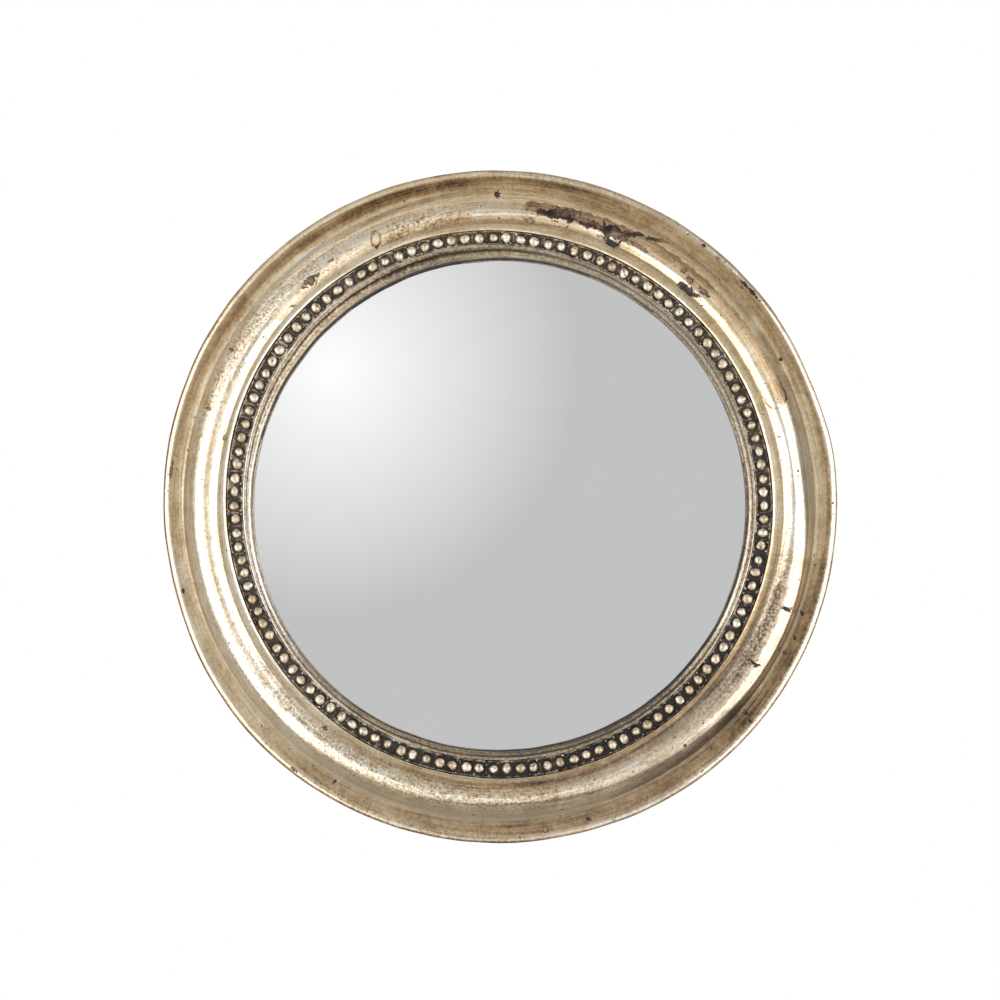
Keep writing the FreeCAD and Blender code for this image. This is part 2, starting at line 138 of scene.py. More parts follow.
def inner_face_mm():
    """From the roll's crest across the band, the bead channel, the fillet, the quirk and the lip."""
    run = [(ROLL_CREST_MM, CREST_DEPTH_MM)]
    bend_mm(run, RIDGE_MM, 0, RIDGE_SLOPE, -1)
    bend_mm(run, INNER_FLANK_MM, RIDGE_SLOPE, INNER_SLOPE, -1)
    bend_mm(run, BAND_COVE_MM, INNER_SLOPE, BAND_SLOPE, -1)
    band, worn = (math.radians(s) for s in (BAND_SLOPE, ARRIS_SLOPE))
    band_end = ARRIS_MM + ARRIS_WORN_MM * (math.sin(worn) - math.sin(band))
    band_end += ARRIS_EASE_MM * (1 - math.sin(worn))
    run.append((band_end, run[-1][1] - (run[-1][0] - band_end) * math.tan(band)))
    bend_mm(run, ARRIS_WORN_MM, BAND_SLOPE, ARRIS_SLOPE, -1)
    bend_mm(run, ARRIS_EASE_MM, ARRIS_SLOPE, 90, -1)
    run += [(ARRIS_MM, CHANNEL_DEPTH_MM), (CHANNEL_MM, CHANNEL_DEPTH_MM), (CHANNEL_MM, FILLET_DEPTH_MM)]
    run += [(FILLET_MM, FILLET_DEPTH_MM), (FILLET_MM, QUIRK_DEPTH_MM)]
    slope = math.atan2(QUIRK_DEPTH_MM - SIGHT_DEPTH_MM, QUIRK_MM - SIGHT_MM)
    for t in np.linspace(0, 1, LIP_POINTS):
        swell = LIP_CROWN_MM * (1 - (2 * t - 1) ** 2)
        run.append((QUIRK_MM + (SIGHT_MM - QUIRK_MM) * t - swell * math.sin(slope),
                    QUIRK_DEPTH_MM + (SIGHT_DEPTH_MM - QUIRK_DEPTH_MM) * t + swell * math.cos(slope)))
    return run


def moulding_section_mm():
    """The turned face, from the outer side to the sight edge, closed by the rebate and the glued back."""
    rebate = [(SIGHT_MM, SEAT_DEPTH_MM), (REBATE_MM, SEAT_DEPTH_MM), (REBATE_MM, JOINT_DEPTH_MM)]
    outer = outer_face_mm()
    return np.array(outer[::-1] + inner_face_mm()[1:] + rebate + outer[-1:])


def softened(section, spread, step=0.05, flat_step=0.9, round_step=0.18, turn_step=0.28, hidden_times=4):
    """The section with its corners rounded as gesso rounds them. Its points are close-set where it
    turns sharply and wide apart where it is hidden, behind the face and under the beads."""
    lengths = np.r_[0, np.cumsum(np.hypot(*np.diff(section, axis=0).T))]
    even = np.arange(0, lengths[-1], step)
    line = np.column_stack([np.interp(even, lengths, section[:, k]) for k in (0, 1)])
    reach = int(4 * spread / step)
    weights = np.exp(-0.5 * (np.arange(-reach, reach + 1) * step / spread) ** 2)
    weights /= weights.sum()
    wrapped = np.vstack([line[-reach:], line, line[:reach]])
    line = np.column_stack([np.convolve(wrapped[:, k], weights, "valid") for k in (0, 1)])
    ahead = np.roll(line, -1, axis=0) - line
    heading = np.unwrap(np.arctan2(ahead[:, 1], ahead[:, 0]))
    turning = np.abs(np.gradient(heading)) / step
    wanted = np.clip(turn_step / np.maximum(turning, 1e-6), round_step, flat_step)
    behind = (line[:, 1] < SEAT_DEPTH_MM + 0.1) & (line[:, 0] < OUTER_MM - 4)
    under_beads = (np.abs(line[:, 1] - CHANNEL_DEPTH_MM) < 0.02) & (line[:, 0] < ARRIS_MM - 0.5)
    wanted[behind | under_beads] *= hidden_times
    travel = np.r_[0, np.cumsum(step / wanted)]
    picks = np.linspace(0, travel[-1], int(travel[-1]) + 1)
    closed = np.vstack([line, line[:1]])
    return np.column_stack([np.interp(picks, travel, closed[:, k]) for k in (0, 1)])


def colour(code):
    """An sRGB hex colour as linear RGBA."""
    channels = [int(code[i:i + 2], 16) / 255 for i in (0, 2, 4)]
    return tuple(c / 12.92 if c <= 0.04045 else ((c + 0.055) / 1.055) ** 2.4 for c in channels) + (1.0,)


def dress(tree, node, values):
    """Sets or links a node's inputs. Values are constants or outputs of other nodes."""
    for socket, value in values.items():
        if isinstance(value, bpy.types.NodeSocket):
            tree.links.new(value, node.inputs[socket])
        else:
            node.inputs[socket].default_value = value


def add(tree, kind, values=None, out=0, stops=(), **settings):
    """Adds a node with its settings, its inputs and a ramp's stops, and gives one of its outputs."""
    made = tree.nodes.new(kind)
    for name, value in settings.items():
        setattr(made, name, value)
    dress(tree, made, values or {})
    for i, (position, code) in enumerate(stops):
        elements = made.color_ramp.elements
        stop = elements[i] if i < len(elements) else elements.new(position)
        stop.position = position
        stop.color = colour(code)
    return made.outputs[out] if made.outputs else made


def weighed(tree, start, terms):
    """A start value with each term added by its weight."""
    for term, weight in terms:
        start = add(tree, "ShaderNodeMath", {0: term, 1: weight, 2: start}, operation="MULTIPLY_ADD")
    return start


def new_material(name):
    """A material, its tree, and its surface, a Principled BSDF."""
    material = bpy.data.materials.new(name)
    material.use_nodes = True
    tree = material.node_tree
    tree.nodes.clear()
    surface = add(tree, "ShaderNodeBsdfPrincipled")
    add(tree, "ShaderNodeOutputMaterial", {"Surface": surface})
    return material, tree, surface.node


def object_mm(tree, along_deg=0.0, size=(1, 1, 1)):
    """Object coordinates from the mirror's axis, in units of a size in mm that is turned to an angle."""
    where = add(tree, "ShaderNodeTexCoord", out="Object")
    return add(tree, "ShaderNodeMapping", {
        "Vector": where, "Location": (0, 0, AXIS_Z), "Rotation": (0, -math.radians(along_deg), 0),
        "Scale": tuple(s / 1000 for s in size)}, vector_type="TEXTURE")


def silver_leaf():
    """Beaten silver leaf over bole, under brown shellac: a satin champagne metal with lathe streaks,
    browner where lacquer and dirt lie thick and darker where shade is painted in, paler on rubbed edges
    and where a highlight is painted in, dark brown where it has flaked and in a painted shadow line."""
    material, tree, surface = new_material("silver_leaf_toned_with_shellac")
    cloud_mm, dent_mm, fray_mm, grain_mm, speck_mm, streak_mm = 11, 4.5, 2.6, 1.2, 7, (30, 30, 0.8)
    place = object_mm(tree)
    ring = add(tree, "ShaderNodeAttribute", out="Vector", attribute_name="ring_place")
    wear_and_shade = add(tree, "ShaderNodeAttribute", out="Color", attribute_name="wear_and_shade")
    patina_and_painted_light = add(tree, "ShaderNodeAttribute", out="Color", attribute_name="patina_and_painted_light")
    dust = patina_and_painted_light.node.outputs["Alpha"]
    charred_and_shade = wear_and_shade.node.outputs["Alpha"]
    loss_and_shade, dull, rub = add(tree, "ShaderNodeSeparateColor", {0: wear_and_shade}).node.outputs
    pale, grime_and_shade, tone = add(tree, "ShaderNodeSeparateColor", {0: patina_and_painted_light}).node.outputs
    outline = add(tree, "ShaderNodeAttribute", out="Vector", attribute_name="outline")
    from_line_mm, firm, unlacquered_and_lit = add(tree, "ShaderNodeSeparateXYZ", {0: outline}).node.outputs

    clouds = add(tree, "ShaderNodeTexNoise", {
        "Vector": place, "Scale": 1 / cloud_mm, "Detail": 6.0, "Roughness": 0.62})
    grain = add(tree, "ShaderNodeTexNoise", {"Vector": place, "Scale": 1 / grain_mm, "Detail": 3.0})
    dents = add(tree, "ShaderNodeTexNoise", {"Vector": place, "Scale": 1 / dent_mm, "Detail": 2.0})
    along = add(tree, "ShaderNodeMapping", {"Vector": ring, "Scale": streak_mm}, vector_type="TEXTURE")
    streaks = add(tree, "ShaderNodeTexNoise", {
        "Vector": along, "Scale": 1.0, "Detail": 4.0, "Roughness": 0.6})
    frayed = add(tree, "ShaderNodeTexNoise", {
        "Vector": place, "Scale": 1 / fray_mm, "Detail": 6.0, "Roughness": 0.7})
    from_line_mm = weighed(tree, from_line_mm, [(frayed, 1.6), (1.0, -0.8)])
    from_line_mm = add(tree, "ShaderNodeMath", {0: from_line_mm}, operation="ABSOLUTE")
    outlined = add(tree, "ShaderNodeMapRange", {
        "Value": from_line_mm, "From Min": 0.1, "From Max": 0.65, "To Min": firm, "To Max": 0.0})

    # Pinholes of different sizes, in about half of the cells of a pattern.
    speck_far = add(tree, "ShaderNodeTexVoronoi", {"Vector": place, "Scale": 1 / speck_mm}, out="Distance")
    speck_draw = add(tree, "ShaderNodeSeparateColor", {0: speck_far.node.outputs["Color"]})
    speck_size = add(tree, "ShaderNodeMapRange", {
        "Value": speck_draw, "From Min": 0.5, "From Max": 1.0, "To Min": -0.02, "To Max": 0.12})
    speck_room = weighed(tree, speck_size, [(speck_far, -1.0), (frayed, 0.05)])
    specks = add(tree, "ShaderNodeMapRange", {
        "Value": speck_room, "From Min": 0.01, "From Max": 0.04, "To Max": 0.75})

    # The metal's colour under lacquer, dust, caked dirt and painted shade.
    dull_edge = weighed(tree, -0.05, [(dull, 1.0), (frayed, 0.1)])
    dulled = add(tree, "ShaderNodeMapRange", {"Value": dull_edge, "From Min": 0.47, "From Max": 0.53})
    grit = weighed(tree, 0.3, [(rub, 1.7)])
    grain_level = weighed(tree, -0.5, [(grain, 1.0)])
    gritty = add(tree, "ShaderNodeMath", {0: grain_level, 1: grit}, operation="MULTIPLY")
    shade = weighed(tree, -0.66, [
        (tone, 1.0), (clouds, 0.4), (frayed, 0.3), (streaks, 0.6), (gritty, 0.95), (pale, 0.26), (rub, -0.06),
        (dulled, -0.1), (grime_and_shade, -0.8), (outlined, -0.45)])
    metal = add(tree, "ShaderNodeValToRGB", {0: shade}, stops=[
        (0.0, "2A231C"), (0.2, "5F4C3A"), (0.4, "A18667"), (0.6, "CFB792"), (0.8, "ECDFC8"), (1.0, "F8F4EA")])
    saturation = weighed(tree, 1.0, [(unlacquered_and_lit, -0.5)])
    metal = add(tree, "ShaderNodeHueSaturation", {"Saturation": saturation, "Color": metal})
    dusted = add(tree, "ShaderNodeMix", {0: dust, 6: metal, 7: colour("9C937E")}, out=2, data_type="RGBA")
    # Thick dirt and thick painted shade turn grey-black.
    caked_and_shade = add(tree, "ShaderNodeMapRange", {
        "Value": grime_and_shade, "From Min": 0.45, "From Max": 0.8, "To Max": 0.8})
    dusted = add(tree, "ShaderNodeMix", {0: caked_and_shade, 6: dusted, 7: colour("453F38")}, out=2, data_type="RGBA")

    # Bole and soot, bared where the leaf has flaked, and paler well within a loss. The wall beside the
    # glass is bared the same way, as a painted shadow line.
    torn_edge = weighed(tree, -1.4, [(loss_and_shade, 1.0), (frayed, 2.9)])
    flaked = add(tree, "ShaderNodeMapRange", {"Value": torn_edge, "From Min": 0.48, "From Max": 0.52})
    torn_and_shade = add(tree, "ShaderNodeMath", {0: flaked, 1: specks}, operation="MAXIMUM")
    within = add(tree, "ShaderNodeMapRange", {
        "Value": torn_edge, "From Min": 0.5, "From Max": 1.0, "To Max": 0.3})
    bare = weighed(tree, 0.02, [(dents, 0.7), (grain, 0.3), (within, 1.0), (charred_and_shade, -0.5)])
    bole = add(tree, "ShaderNodeValToRGB", {0: bare}, stops=[
        (0.3, "1B1615"), (0.5, "4A372F"), (0.68, "7E6252"), (0.85, "A98D78")])
    paint = add(tree, "ShaderNodeMix", {0: torn_and_shade, 6: dusted, 7: bole}, out=2, data_type="RGBA")
    leafed = weighed(tree, 1.0, [(dust, -0.6)])
    sheen = add(tree, "ShaderNodeMapRange", {"Value": torn_and_shade, "To Min": leafed, "To Max": 0.15})

    rough = weighed(tree, 0.16, [(dulled, 0.24), (grime_and_shade, 0.25), (clouds, 0.1), (torn_and_shade, 0.35), (dust, 0.35)])
    height = weighed(tree, gritty, [(dents, 1.2), (frayed, 0.4), (streaks, 0.5), (torn_and_shade, -1.5)])
    bumps = add(tree, "ShaderNodeBump", {"Height": height, "Strength": 1.0, "Distance": 0.0001})
    dress(tree, surface, {"Base Color": paint, "Metallic": sheen, "Roughness": rough, "Normal": bumps})
    return material


def tree_with_inputs(name, inputs):
    """A Geometry Nodes tree that takes a geometry and the named sizes, and gives a geometry."""
    tree = bpy.data.node_groups.new(name, "GeometryNodeTree")
    tree.interface.new_socket("Geometry", in_out="INPUT", socket_type="NodeSocketGeometry")
    for label, kind in inputs.items():
        tree.interface.new_socket(label, in_out="INPUT", socket_type=kind)
    tree.interface.new_socket("Geometry", in_out="OUTPUT", socket_type="NodeSocketGeometry")
    return tree


def placed(name, data):
    """A new object in the scene, at the origin."""
    made = bpy.data.objects.new(name, data)
    bpy.context.scene.collection.objects.link(made)
    return made


def made_mesh(name, data, tree, inputs):
    """Runs a tree on a curve or mesh and keeps the result as a plain mesh object at the origin."""
    source = placed(name + "_source", data)
    modifier = source.modifiers.new("made", "NODES")
    modifier.node_group = tree
    for item in tree.interface.items_tree:
        if item.in_out == "INPUT" and item.name in inputs:
            modifier[item.identifier] = inputs[item.name]
    bpy.context.view_layer.update()
    evaluated = source.evaluated_get(bpy.context.evaluated_depsgraph_get())
    mesh = bpy.data.meshes.new_from_object(evaluated)
    bpy.data.objects.remove(source)
    mesh.name = name
    return placed(name, mesh)


def carried_round(tree, spot, angle, axis_height):
    """A spot turned by an angle about the mirror's axis, which stands at a height."""
    turned = add(tree, "ShaderNodeVectorRotate", {"Vector": spot, "Axis": (0, -1, 0), "Angle": angle},
                 rotation_type="AXIS_ANGLE")
    lift = add(tree, "ShaderNodeCombineXYZ", {"Z": axis_height})
    return add(tree, "ShaderNodeVectorMath", {0: turned, 1: lift}, operation="ADD")


def roughened(tree, geometry, lumps, unevenness):
    """A surface pushed in and out by lumps, by an unevenness at most, and shaded smooth."""
    level = add(tree, "ShaderNodeMath", {0: lumps, 1: 0.5}, operation="SUBTRACT")
    height = add(tree, "ShaderNodeMath", {0: level, 1: unevenness}, operation="MULTIPLY")
    normal = add(tree, "GeometryNodeInputNormal")
    push = add(tree, "ShaderNodeVectorMath", {0: normal, "Scale": height}, operation="SCALE")
    uneven = add(tree, "GeometryNodeSetPosition", {"Geometry": geometry, "Offset": push})
    return add(tree, "GeometryNodeSetShadeSmooth", {"Geometry": uneven})


def turning_tree(material):
    """Turns a section, given as a run of points, about the mirror's axis, with a hand's unevenness."""
    tree = tree_with_inputs("turned_piece", {
        "Steps": "NodeSocketInt", "Section points": "NodeSocketInt", "Axis height": "NodeSocketFloat",
        "Unevenness": "NodeSocketFloat", "Lump size": "NodeSocketFloat", "Seed": "NodeSocketFloat"})
    given = add(tree, "NodeGroupInput").node.outputs
    columns = add(tree, "FunctionNodeIntegerMath", {0: given["Steps"], 1: 1}, operation="ADD")
    rows = given["Section points"]
    grid = add(tree, "GeometryNodeMeshGrid", {"Vertices X": columns, "Vertices Y": rows})
    index = add(tree, "GeometryNodeInputIndex")
    column = add(tree, "FunctionNodeIntegerMath", {0: index, 1: rows}, operation="DIVIDE_FLOOR")
    row = add(tree, "FunctionNodeIntegerMath", {0: index, 1: rows}, operation="FLOORED_MODULO")
    place = add(tree, "GeometryNodeInputPosition")
    point = add(tree, "GeometryNodeSampleIndex", {
        "Geometry": given["Geometry"], "Index": row, "Value": place},
        data_type="FLOAT_VECTOR", domain="POINT")
    turn = add(tree, "ShaderNodeMath", {0: column, 1: given["Steps"]}, operation="DIVIDE")
    angle = add(tree, "ShaderNodeMath", {0: turn, 1: 2 * math.pi}, operation="MULTIPLY")
    spot = carried_round(tree, point, angle, given["Axis height"])
    noted = add(tree, "GeometryNodeStoreNamedAttribute", {
        "Geometry": grid, "Name": "section_row", "Value": row}, data_type="FLOAT", domain="POINT")
    ring = add(tree, "GeometryNodeSetPosition", {"Geometry": noted, "Position": spot})
    closed = add(tree, "GeometryNodeMergeByDistance", {"Geometry": ring, "Distance": 2e-6})
    frequency = add(tree, "ShaderNodeMath", {0: 1.0, 1: given["Lump size"]}, operation="DIVIDE")
    lumps = add(tree, "ShaderNodeTexNoise", {"W": given["Seed"], "Scale": frequency, "Detail": 1.0},
                noise_dimensions="4D")
    smooth = roughened(tree, closed, lumps, given["Unevenness"])
    real = add(tree, "GeometryNodeRealizeInstances", {"Geometry": smooth})
    coated = add(tree, "GeometryNodeSetMaterial", {"Geometry": real, "Material": material})
    add(tree, "NodeGroupOutput", {"Geometry": coated})
    return tree


def turned_piece(name, section_mm, material, steps, unevenness=0.0, lump_size=0.02, seed=1.0):
    """A piece turned from a run of (radius, depth) points."""
    curve = bpy.data.curves.new(name, "CURVE")
    curve.dimensions = "3D"
    run = curve.splines.new("POLY")
    run.points.add(len(section_mm) - 1)
    for target, (radius, depth) in zip(run.points, section_mm):
        target.co = (radius / 1000, -depth / 1000, 0, 1)
    return made_mesh(name, curve, turning_tree(material), {
        "Steps": steps, "Section points": len(section_mm), "Axis height": AXIS_Z,
        "Unevenness": unevenness, "Lump size": lump_size, "Seed": seed})


# How far the hand-worked rings leave a true circle: at a radius, a growth all round, then local
# swells as (angle, half width in degrees, millimetres).
WANDER_MM = [
    (SIGHT_MM, 0.0, [(120, 50, 0.6), (274, 28, -1.3)]),
    (CHANNEL_MM, 0.0, [(138, 24, 2.7), (98, 20, 2.4), (272, 25, -0.6)]),
    (ARRIS_MM, 0.1, [(145, 20, 2.6), (105, 18, 2.0)]),
    (126.0, -0.2, [(106, 32, 2.5), (355, 25, 0.6)]),
    (ROLL_CREST_MM, 0.3, [(135, 30, 1.2), (270, 25, -1.0)]),
    (135.4, 0.5, [(140, 28, 1.7), (275, 22, -2.7), (335, 15, 2.6), (5, 8, -0.8)]),
    (RISER_FOOT_MM, 0.2, [(140, 28, 1.3), (275, 22, -1.6), (335, 15, 0.2)]),
    (OUTER_MM - 2.5, -0.4, [(133, 24, 1.7), (225, 22, 0.6), (318, 22, 0.5), (9, 5, 0.7), (21, 7, -0.5),
                             (195, 9, -0.8), (285, 8, -0.4), (62, 9, -0.3)]),
]

# How far inside the CAD's box the wandering rings stay.
INSIDE_CAD_MM = 0.02


def angles_apart(a, b):
    """How far one angle is past another, the shorter way round."""
    return (a - b + 180) % 360 - 180


def ring_places(mesh):
    """The vertices' distances from the mirror's axis and from the wall in mm, and their angles round it."""
    flat = np.empty(3 * len(mesh.vertices))
    mesh.vertices.foreach_get("co", flat)
    x, y, z = flat.reshape(-1, 3).T
    return np.hypot(x, z - AXIS_Z) * 1000, -y * 1000, np.degrees(np.arctan2(z - AXIS_Z, x)) % 360


def swells(angle, places):
    """The sum of bell-shaped swells, each at an angle, with a half width and an amount."""
    return sum(amount * np.exp(-0.5 * (angles_apart(angle, at) / width) ** 2) for at, width, amount in places)


def let_wander(mesh, together=None, together_mm=0.0):
    """Moves vertices in or out by the hand's wander, which fades towards the glued back, and keeps
    them inside the CAD's box.

    Those picked out by a mask all move as the ring at one radius does, so that they keep their shape.
    """
    radius, depth, angle = ring_places(mesh)
    rings = [r for r, growth, places in WANDER_MM]
    moves = np.array([growth + swells(angle, places) for r, growth, places in WANDER_MM])
    asked = radius if together is None else np.where(together, together_mm, radius)
    upper = np.clip(np.searchsorted(rings, asked), 1, len(rings) - 1)
    lower = upper - 1
    share = np.clip((asked - np.take(rings, lower)) / (np.take(rings, upper) - np.take(rings, lower)), 0, 1)
    everyone = np.arange(len(radius))
    move = moves[lower, everyone] * (1 - share) + moves[upper, everyone] * share
    radius = radius + move * np.clip((depth - JOINT_DEPTH_MM) / (SEAT_DEPTH_MM - JOINT_DEPTH_MM), 0, 1)
    depth = np.minimum(depth, CREST_DEPTH_MM - INSIDE_CAD_MM)
    reach = OUTER_MM - INSIDE_CAD_MM
    turn = np.radians(angle)
    across, up = (np.clip(radius * f(turn), -reach, reach) for f in (np.cos, np.sin))
    moved = np.column_stack([across / 1000, -depth / 1000, up / 1000 + AXIS_Z])
    mesh.vertices.foreach_set("co", moved.ravel())


def kept_field(mesh, name):
    """The number that each vertex holds under a name."""
    numbers = np.empty(len(mesh.vertices))
    mesh.attributes[name].data.foreach_get("value", numbers)
    return numbers


def keep_field(mesh, name, kind, columns):
    """Stores a number, a vector or a colour of four channels for each vertex."""
    part = {"FLOAT": "value", "FLOAT_VECTOR": "vector", "FLOAT_COLOR": "color"}[kind]
    field = mesh.attributes.new(name, kind, "POINT")
    field.data.foreach_set(part, np.column_stack(columns).ravel())


leaf = silver_leaf()
section_mm = softened(moulding_section_mm(), GESSO_SOFTENS_MM)
moulding = turned_piece(
    "leafed_moulding", section_mm, leaf, TURNING_STEPS, unevenness=0.0007, lump_size=0.018, seed=3.0)
let_wander(moulding.data)
radius_mm, _, angle_deg = ring_places(moulding.data)
rows = kept_field(moulding.data, "section_row").astype(int)

# Places along the face in millimetres, so that streaks can run round the ring without a seam.
run_mm = np.r_[0, np.cumsum(np.hypot(*np.diff(section_mm, axis=0).T))]
turn_rad = np.radians(angle_deg)
STREAK_CIRCLE_MM = 130.0
keep_field(moulding.data, "ring_place", "FLOAT_VECTOR",
           [STREAK_CIRCLE_MM * np.cos(turn_rad), STREAK_CIRCLE_MM * np.sin(turn_rad), run_mm[rows]])

# Spots of wear: angle, radius, half length along the ring, half width across it, and the degrees by
# which a leaning one is turned.
FLAKED_MM = [
    (46.6, 131, 1.9, 1.6), (49.9, 130.9, 1.9, 1.4), (48.7, 126.9, 4.8, 1.5), (52, 132.4, 1.2, 1.3),
    (59.6, 137.4, 4.6, 0.7, -22), (63.4, 134.6, 4.6, 0.9, -28), (62, 130.6, 6, 0.8, 6),
    (66.4, 131.8, 4.6, 2.6), (68.6, 131.2, 3.2, 3.4), (67, 126.9, 2.6, 1.9), (72.6, 131.4, 8, 1.5),
    (77, 132.6, 8, 2.6), (80.8, 131.6, 4.6, 1.5), (84, 127.4, 1.6, 0.9), (90.5, 138.7, 1, 1.5),
    (130.2, 130.6, 3.6, 1.6), (124.5, 132.6, 1.1, 0.7), (149.7, 137.6, 0.8, 1.2),
    (161.5, 136, 0.8, 1.4), (166, 125.8, 1.2, 0.7), (231.8, 125.6, 1, 0.9), (278, 145, 0.9, 1.8),
    (328, 133, 0.8, 2), (328.3, 129.6, 0.7, 1.5), (340, 134, 0.7, 2.1), (307.6, 134.3, 0.6, 0.8),
    (41, 147.2, 4.5, 0.6), (48.5, 147, 1.2, 0.5), (173.7, 147, 4, 0.6), (232, 148.5, 2.3, 0.6)]
SPECKED_MM = [
    (285.6, 144.3, 0.8, 0.8), (311, 142.7, 0.8, 0.8), (319.4, 146.2, 0.8, 0.8), (320, 143, 0.8, 0.9),
    (332.7, 142, 0.8, 0.8), (336, 143.2, 0.9, 0.9), (340.4, 142.3, 0.9, 1), (27.5, 141, 0.8, 0.8),
    (52, 147.4, 0.9, 0.7), (195, 145.5, 0.8, 0.8), (239, 143, 0.8, 0.9)]
BLACKENED_MM = [
    (49, 126.6, 4.6, 1), (60.4, 136.8, 2.4, 0.7, -22), (63.6, 134.6, 4.6, 0.9, -28),
    (66.4, 133.4, 2, 1.2), (68.6, 132.4, 1.7, 2.6), (67, 126.6, 2.6, 1.7), (69.6, 129.8, 1.4, 1.6),
    (75.6, 130.7, 9, 0.7), (80.6, 131.8, 4, 1.3), (90.5, 138.7, 1.2, 1.6), (328, 133, 1, 2.2),
    (340, 134, 1, 2.2), (41, 147.2, 4.5, 1)]
DULL_MM = [(52.5, 133, 76, 3), (118, 129.8, 51, 3), (322, 130, 52, 3), (190, 130.6, 80, 1.6)]
BROWNED_MM = [(52.5, 133, 76, 3)]
GREYED_MM = [(318, 129.4, 58, 3.4), (122, 132.5, 30, 2), (152, 134.6, 26, 2)]
LAP_TONGUE_MM = [(52.5, 131.2, 76, 4.9)]
RINGED_MM = [(115, 130.6, 3.4, 2, -62), (83.7, 131.4, 2.9, 2.6)]
PALED_MM = [
    (26, 139.9, 3, 1.6), (35.2, 139.2, 3.6, 2.4), (108, 132.4, 5, 1.2), (125, 130.6, 30, 2.6),
    (128, 140.6, 70, 1.6), (94, 139.6, 40, 1.9)]
RUBBED_MM = [
    (146, 135, 45, 3.6), (243, 130.5, 90, 3.4), (334, 129.2, 34, 2.6), (106.5, 131, 15, 3),
    (124.5, 131.4, 12, 2.4)]
CHAFED_MM = [(252, 148, 45, 1.3), (82, 148, 40, 1.1), (330, 148, 60, 1.2)]
STAINED_MM = [
    (78, 145, 18, 1), (119, 144.8, 46, 1.7), (310, 138.6, 46, 1.3), (113, 114, 7, 1), (0, 146, 44, 1),
    (296, 124.6, 105, 1.8), (45, 112, 30, 1.4), (270, 110.6, 40, 1.6), (334, 129.2, 34, 1.8),
    (225, 110.6, 24, 0.9), (281, 129.8, 1.3, 4, 12)]


def spots(places, blunt=False):
    """1 in the middle of each spot, a half at its edge and almost 0 beyond. A spot is an oval, or a
    strip with round ends and a ragged edge where it is blunt."""
    field = np.zeros_like(radius_mm)
    ragged_mm = 0.25 * np.sin(np.radians(angle_deg * 97)) + 0.2 * np.sin(np.radians(angle_deg * 211))
    for at, r, half_length, half_width, *leaning in places:
        turned = np.radians(angles_apart(angle_deg, at)) * r
        risen = radius_mm - r + (ragged_mm if blunt else 0)
        lean = math.radians(leaning[0]) if leaning else 0.0
        along = turned * math.cos(lean) + risen * math.sin(lean)
        across = risen * math.cos(lean) - turned * math.sin(lean)
        if blunt:
            along = np.maximum(np.abs(along) - half_length + half_width, 0) / half_width
        else:
            along = along / half_length
        field = np.maximum(field, 0.5 ** (along ** 2 + (across / half_width) ** 2))
    return field


# Where each vertex lies on the section as it was turned, before the hand's wander.
true_r, true_d = section_mm[rows].T


def on_ring(at_mm, half_mm):
    """1 at a distance from the axis, fading over a half width to both sides of it."""
    return np.exp(-0.5 * ((true_r - at_mm) / half_mm) ** 2)


def at_angles(*places):
    """Swells round the moulding, each an angle, a half width in degrees and an amount."""
    return swells(angle_deg, places)


RIM_FROM_MM = 147.0
ROLL_FROM_MM = 124.0
ROLL_TO_MM = 139.0
on_lip = true_r < CHANNEL_MM + 0.1
on_rim = true_r > RIM_FROM_MM
on_roll = (true_r > ROLL_FROM_MM) & (true_r < ROLL_TO_MM)

# Wear and painted shade: lost leaf, dulled leaf, rubbed leaf, and soot in the losses. The wall beside the
# glass is made bare and soot-black, a painted shadow line along the glass's edge.
wall_shade_to_mm = 17.0 + at_angles((112, 24, 0.8), (325, 26, 0.8), (28, 28, -1.2), (195, 25, -0.7))
wall_painted_shade = (true_r < SIGHT_MM + 0.06) & (true_d < wall_shade_to_mm)
lost_and_wall_shade = np.maximum(spots(FLAKED_MM + SPECKED_MM), wall_painted_shade)
rubbed = np.maximum.reduce([spots(RUBBED_MM), spots(CHAFED_MM) * 0.4, on_lip * 0.45])
sooted_and_wall_shade = np.maximum(spots(BLACKENED_MM + SPECKED_MM), wall_painted_shade)
keep_field(moulding.data, "wear_and_shade", "FLOAT_COLOR", [lost_and_wall_shade, spots(DULL_MM, blunt=True), rubbed, sooted_and_wall_shade])

# Outline: stains and the end of one leaf have a drawn edge, so each place knows how far the nearest
# such line is and how firm it is there. It also knows how much of the warm lacquer is rubbed off.
FAR_MM = 9.0
from_line_mm = np.full_like(radius_mm, FAR_MM)
for stain in LAP_TONGUE_MM + RINGED_MM:
    level = np.maximum(spots([stain], blunt=stain in LAP_TONGUE_MM), 1e-9)
    away_mm = (np.sqrt(-np.log2(level)) - 1) * stain[3]
    from_line_mm = np.where(np.abs(away_mm) < np.abs(from_line_mm), away_mm, from_line_mm)
firm = np.clip(at_angles((20.5, 2.6, 0.8), (115.8, 1.9, 1.0), (84.0, 2.0, 0.4)), 0, 1)
# The lip's lacquer is thin all round; at its left and right the lip is greyed further with its painted
# highlight.
lip_unlacquered_and_lit = 0.22 + at_angles((190, 30, 0.35), (0, 40, 0.2))
unlacquered_rim = 0.35 - at_angles((112, 30, 0.65), (205, 30, 0.3))
unlacquered_roll = at_angles((322, 24, 0.55), (222, 14, 0.25))
unlacquered_and_lit = np.select([on_lip, on_rim, on_roll], [lip_unlacquered_and_lit, unlacquered_rim, unlacquered_roll],
                        -0.2 + at_angles((275, 50, 0.25)))
keep_field(moulding.data, "outline", "FLOAT_VECTOR", [from_line_mm, firm, unlacquered_and_lit])

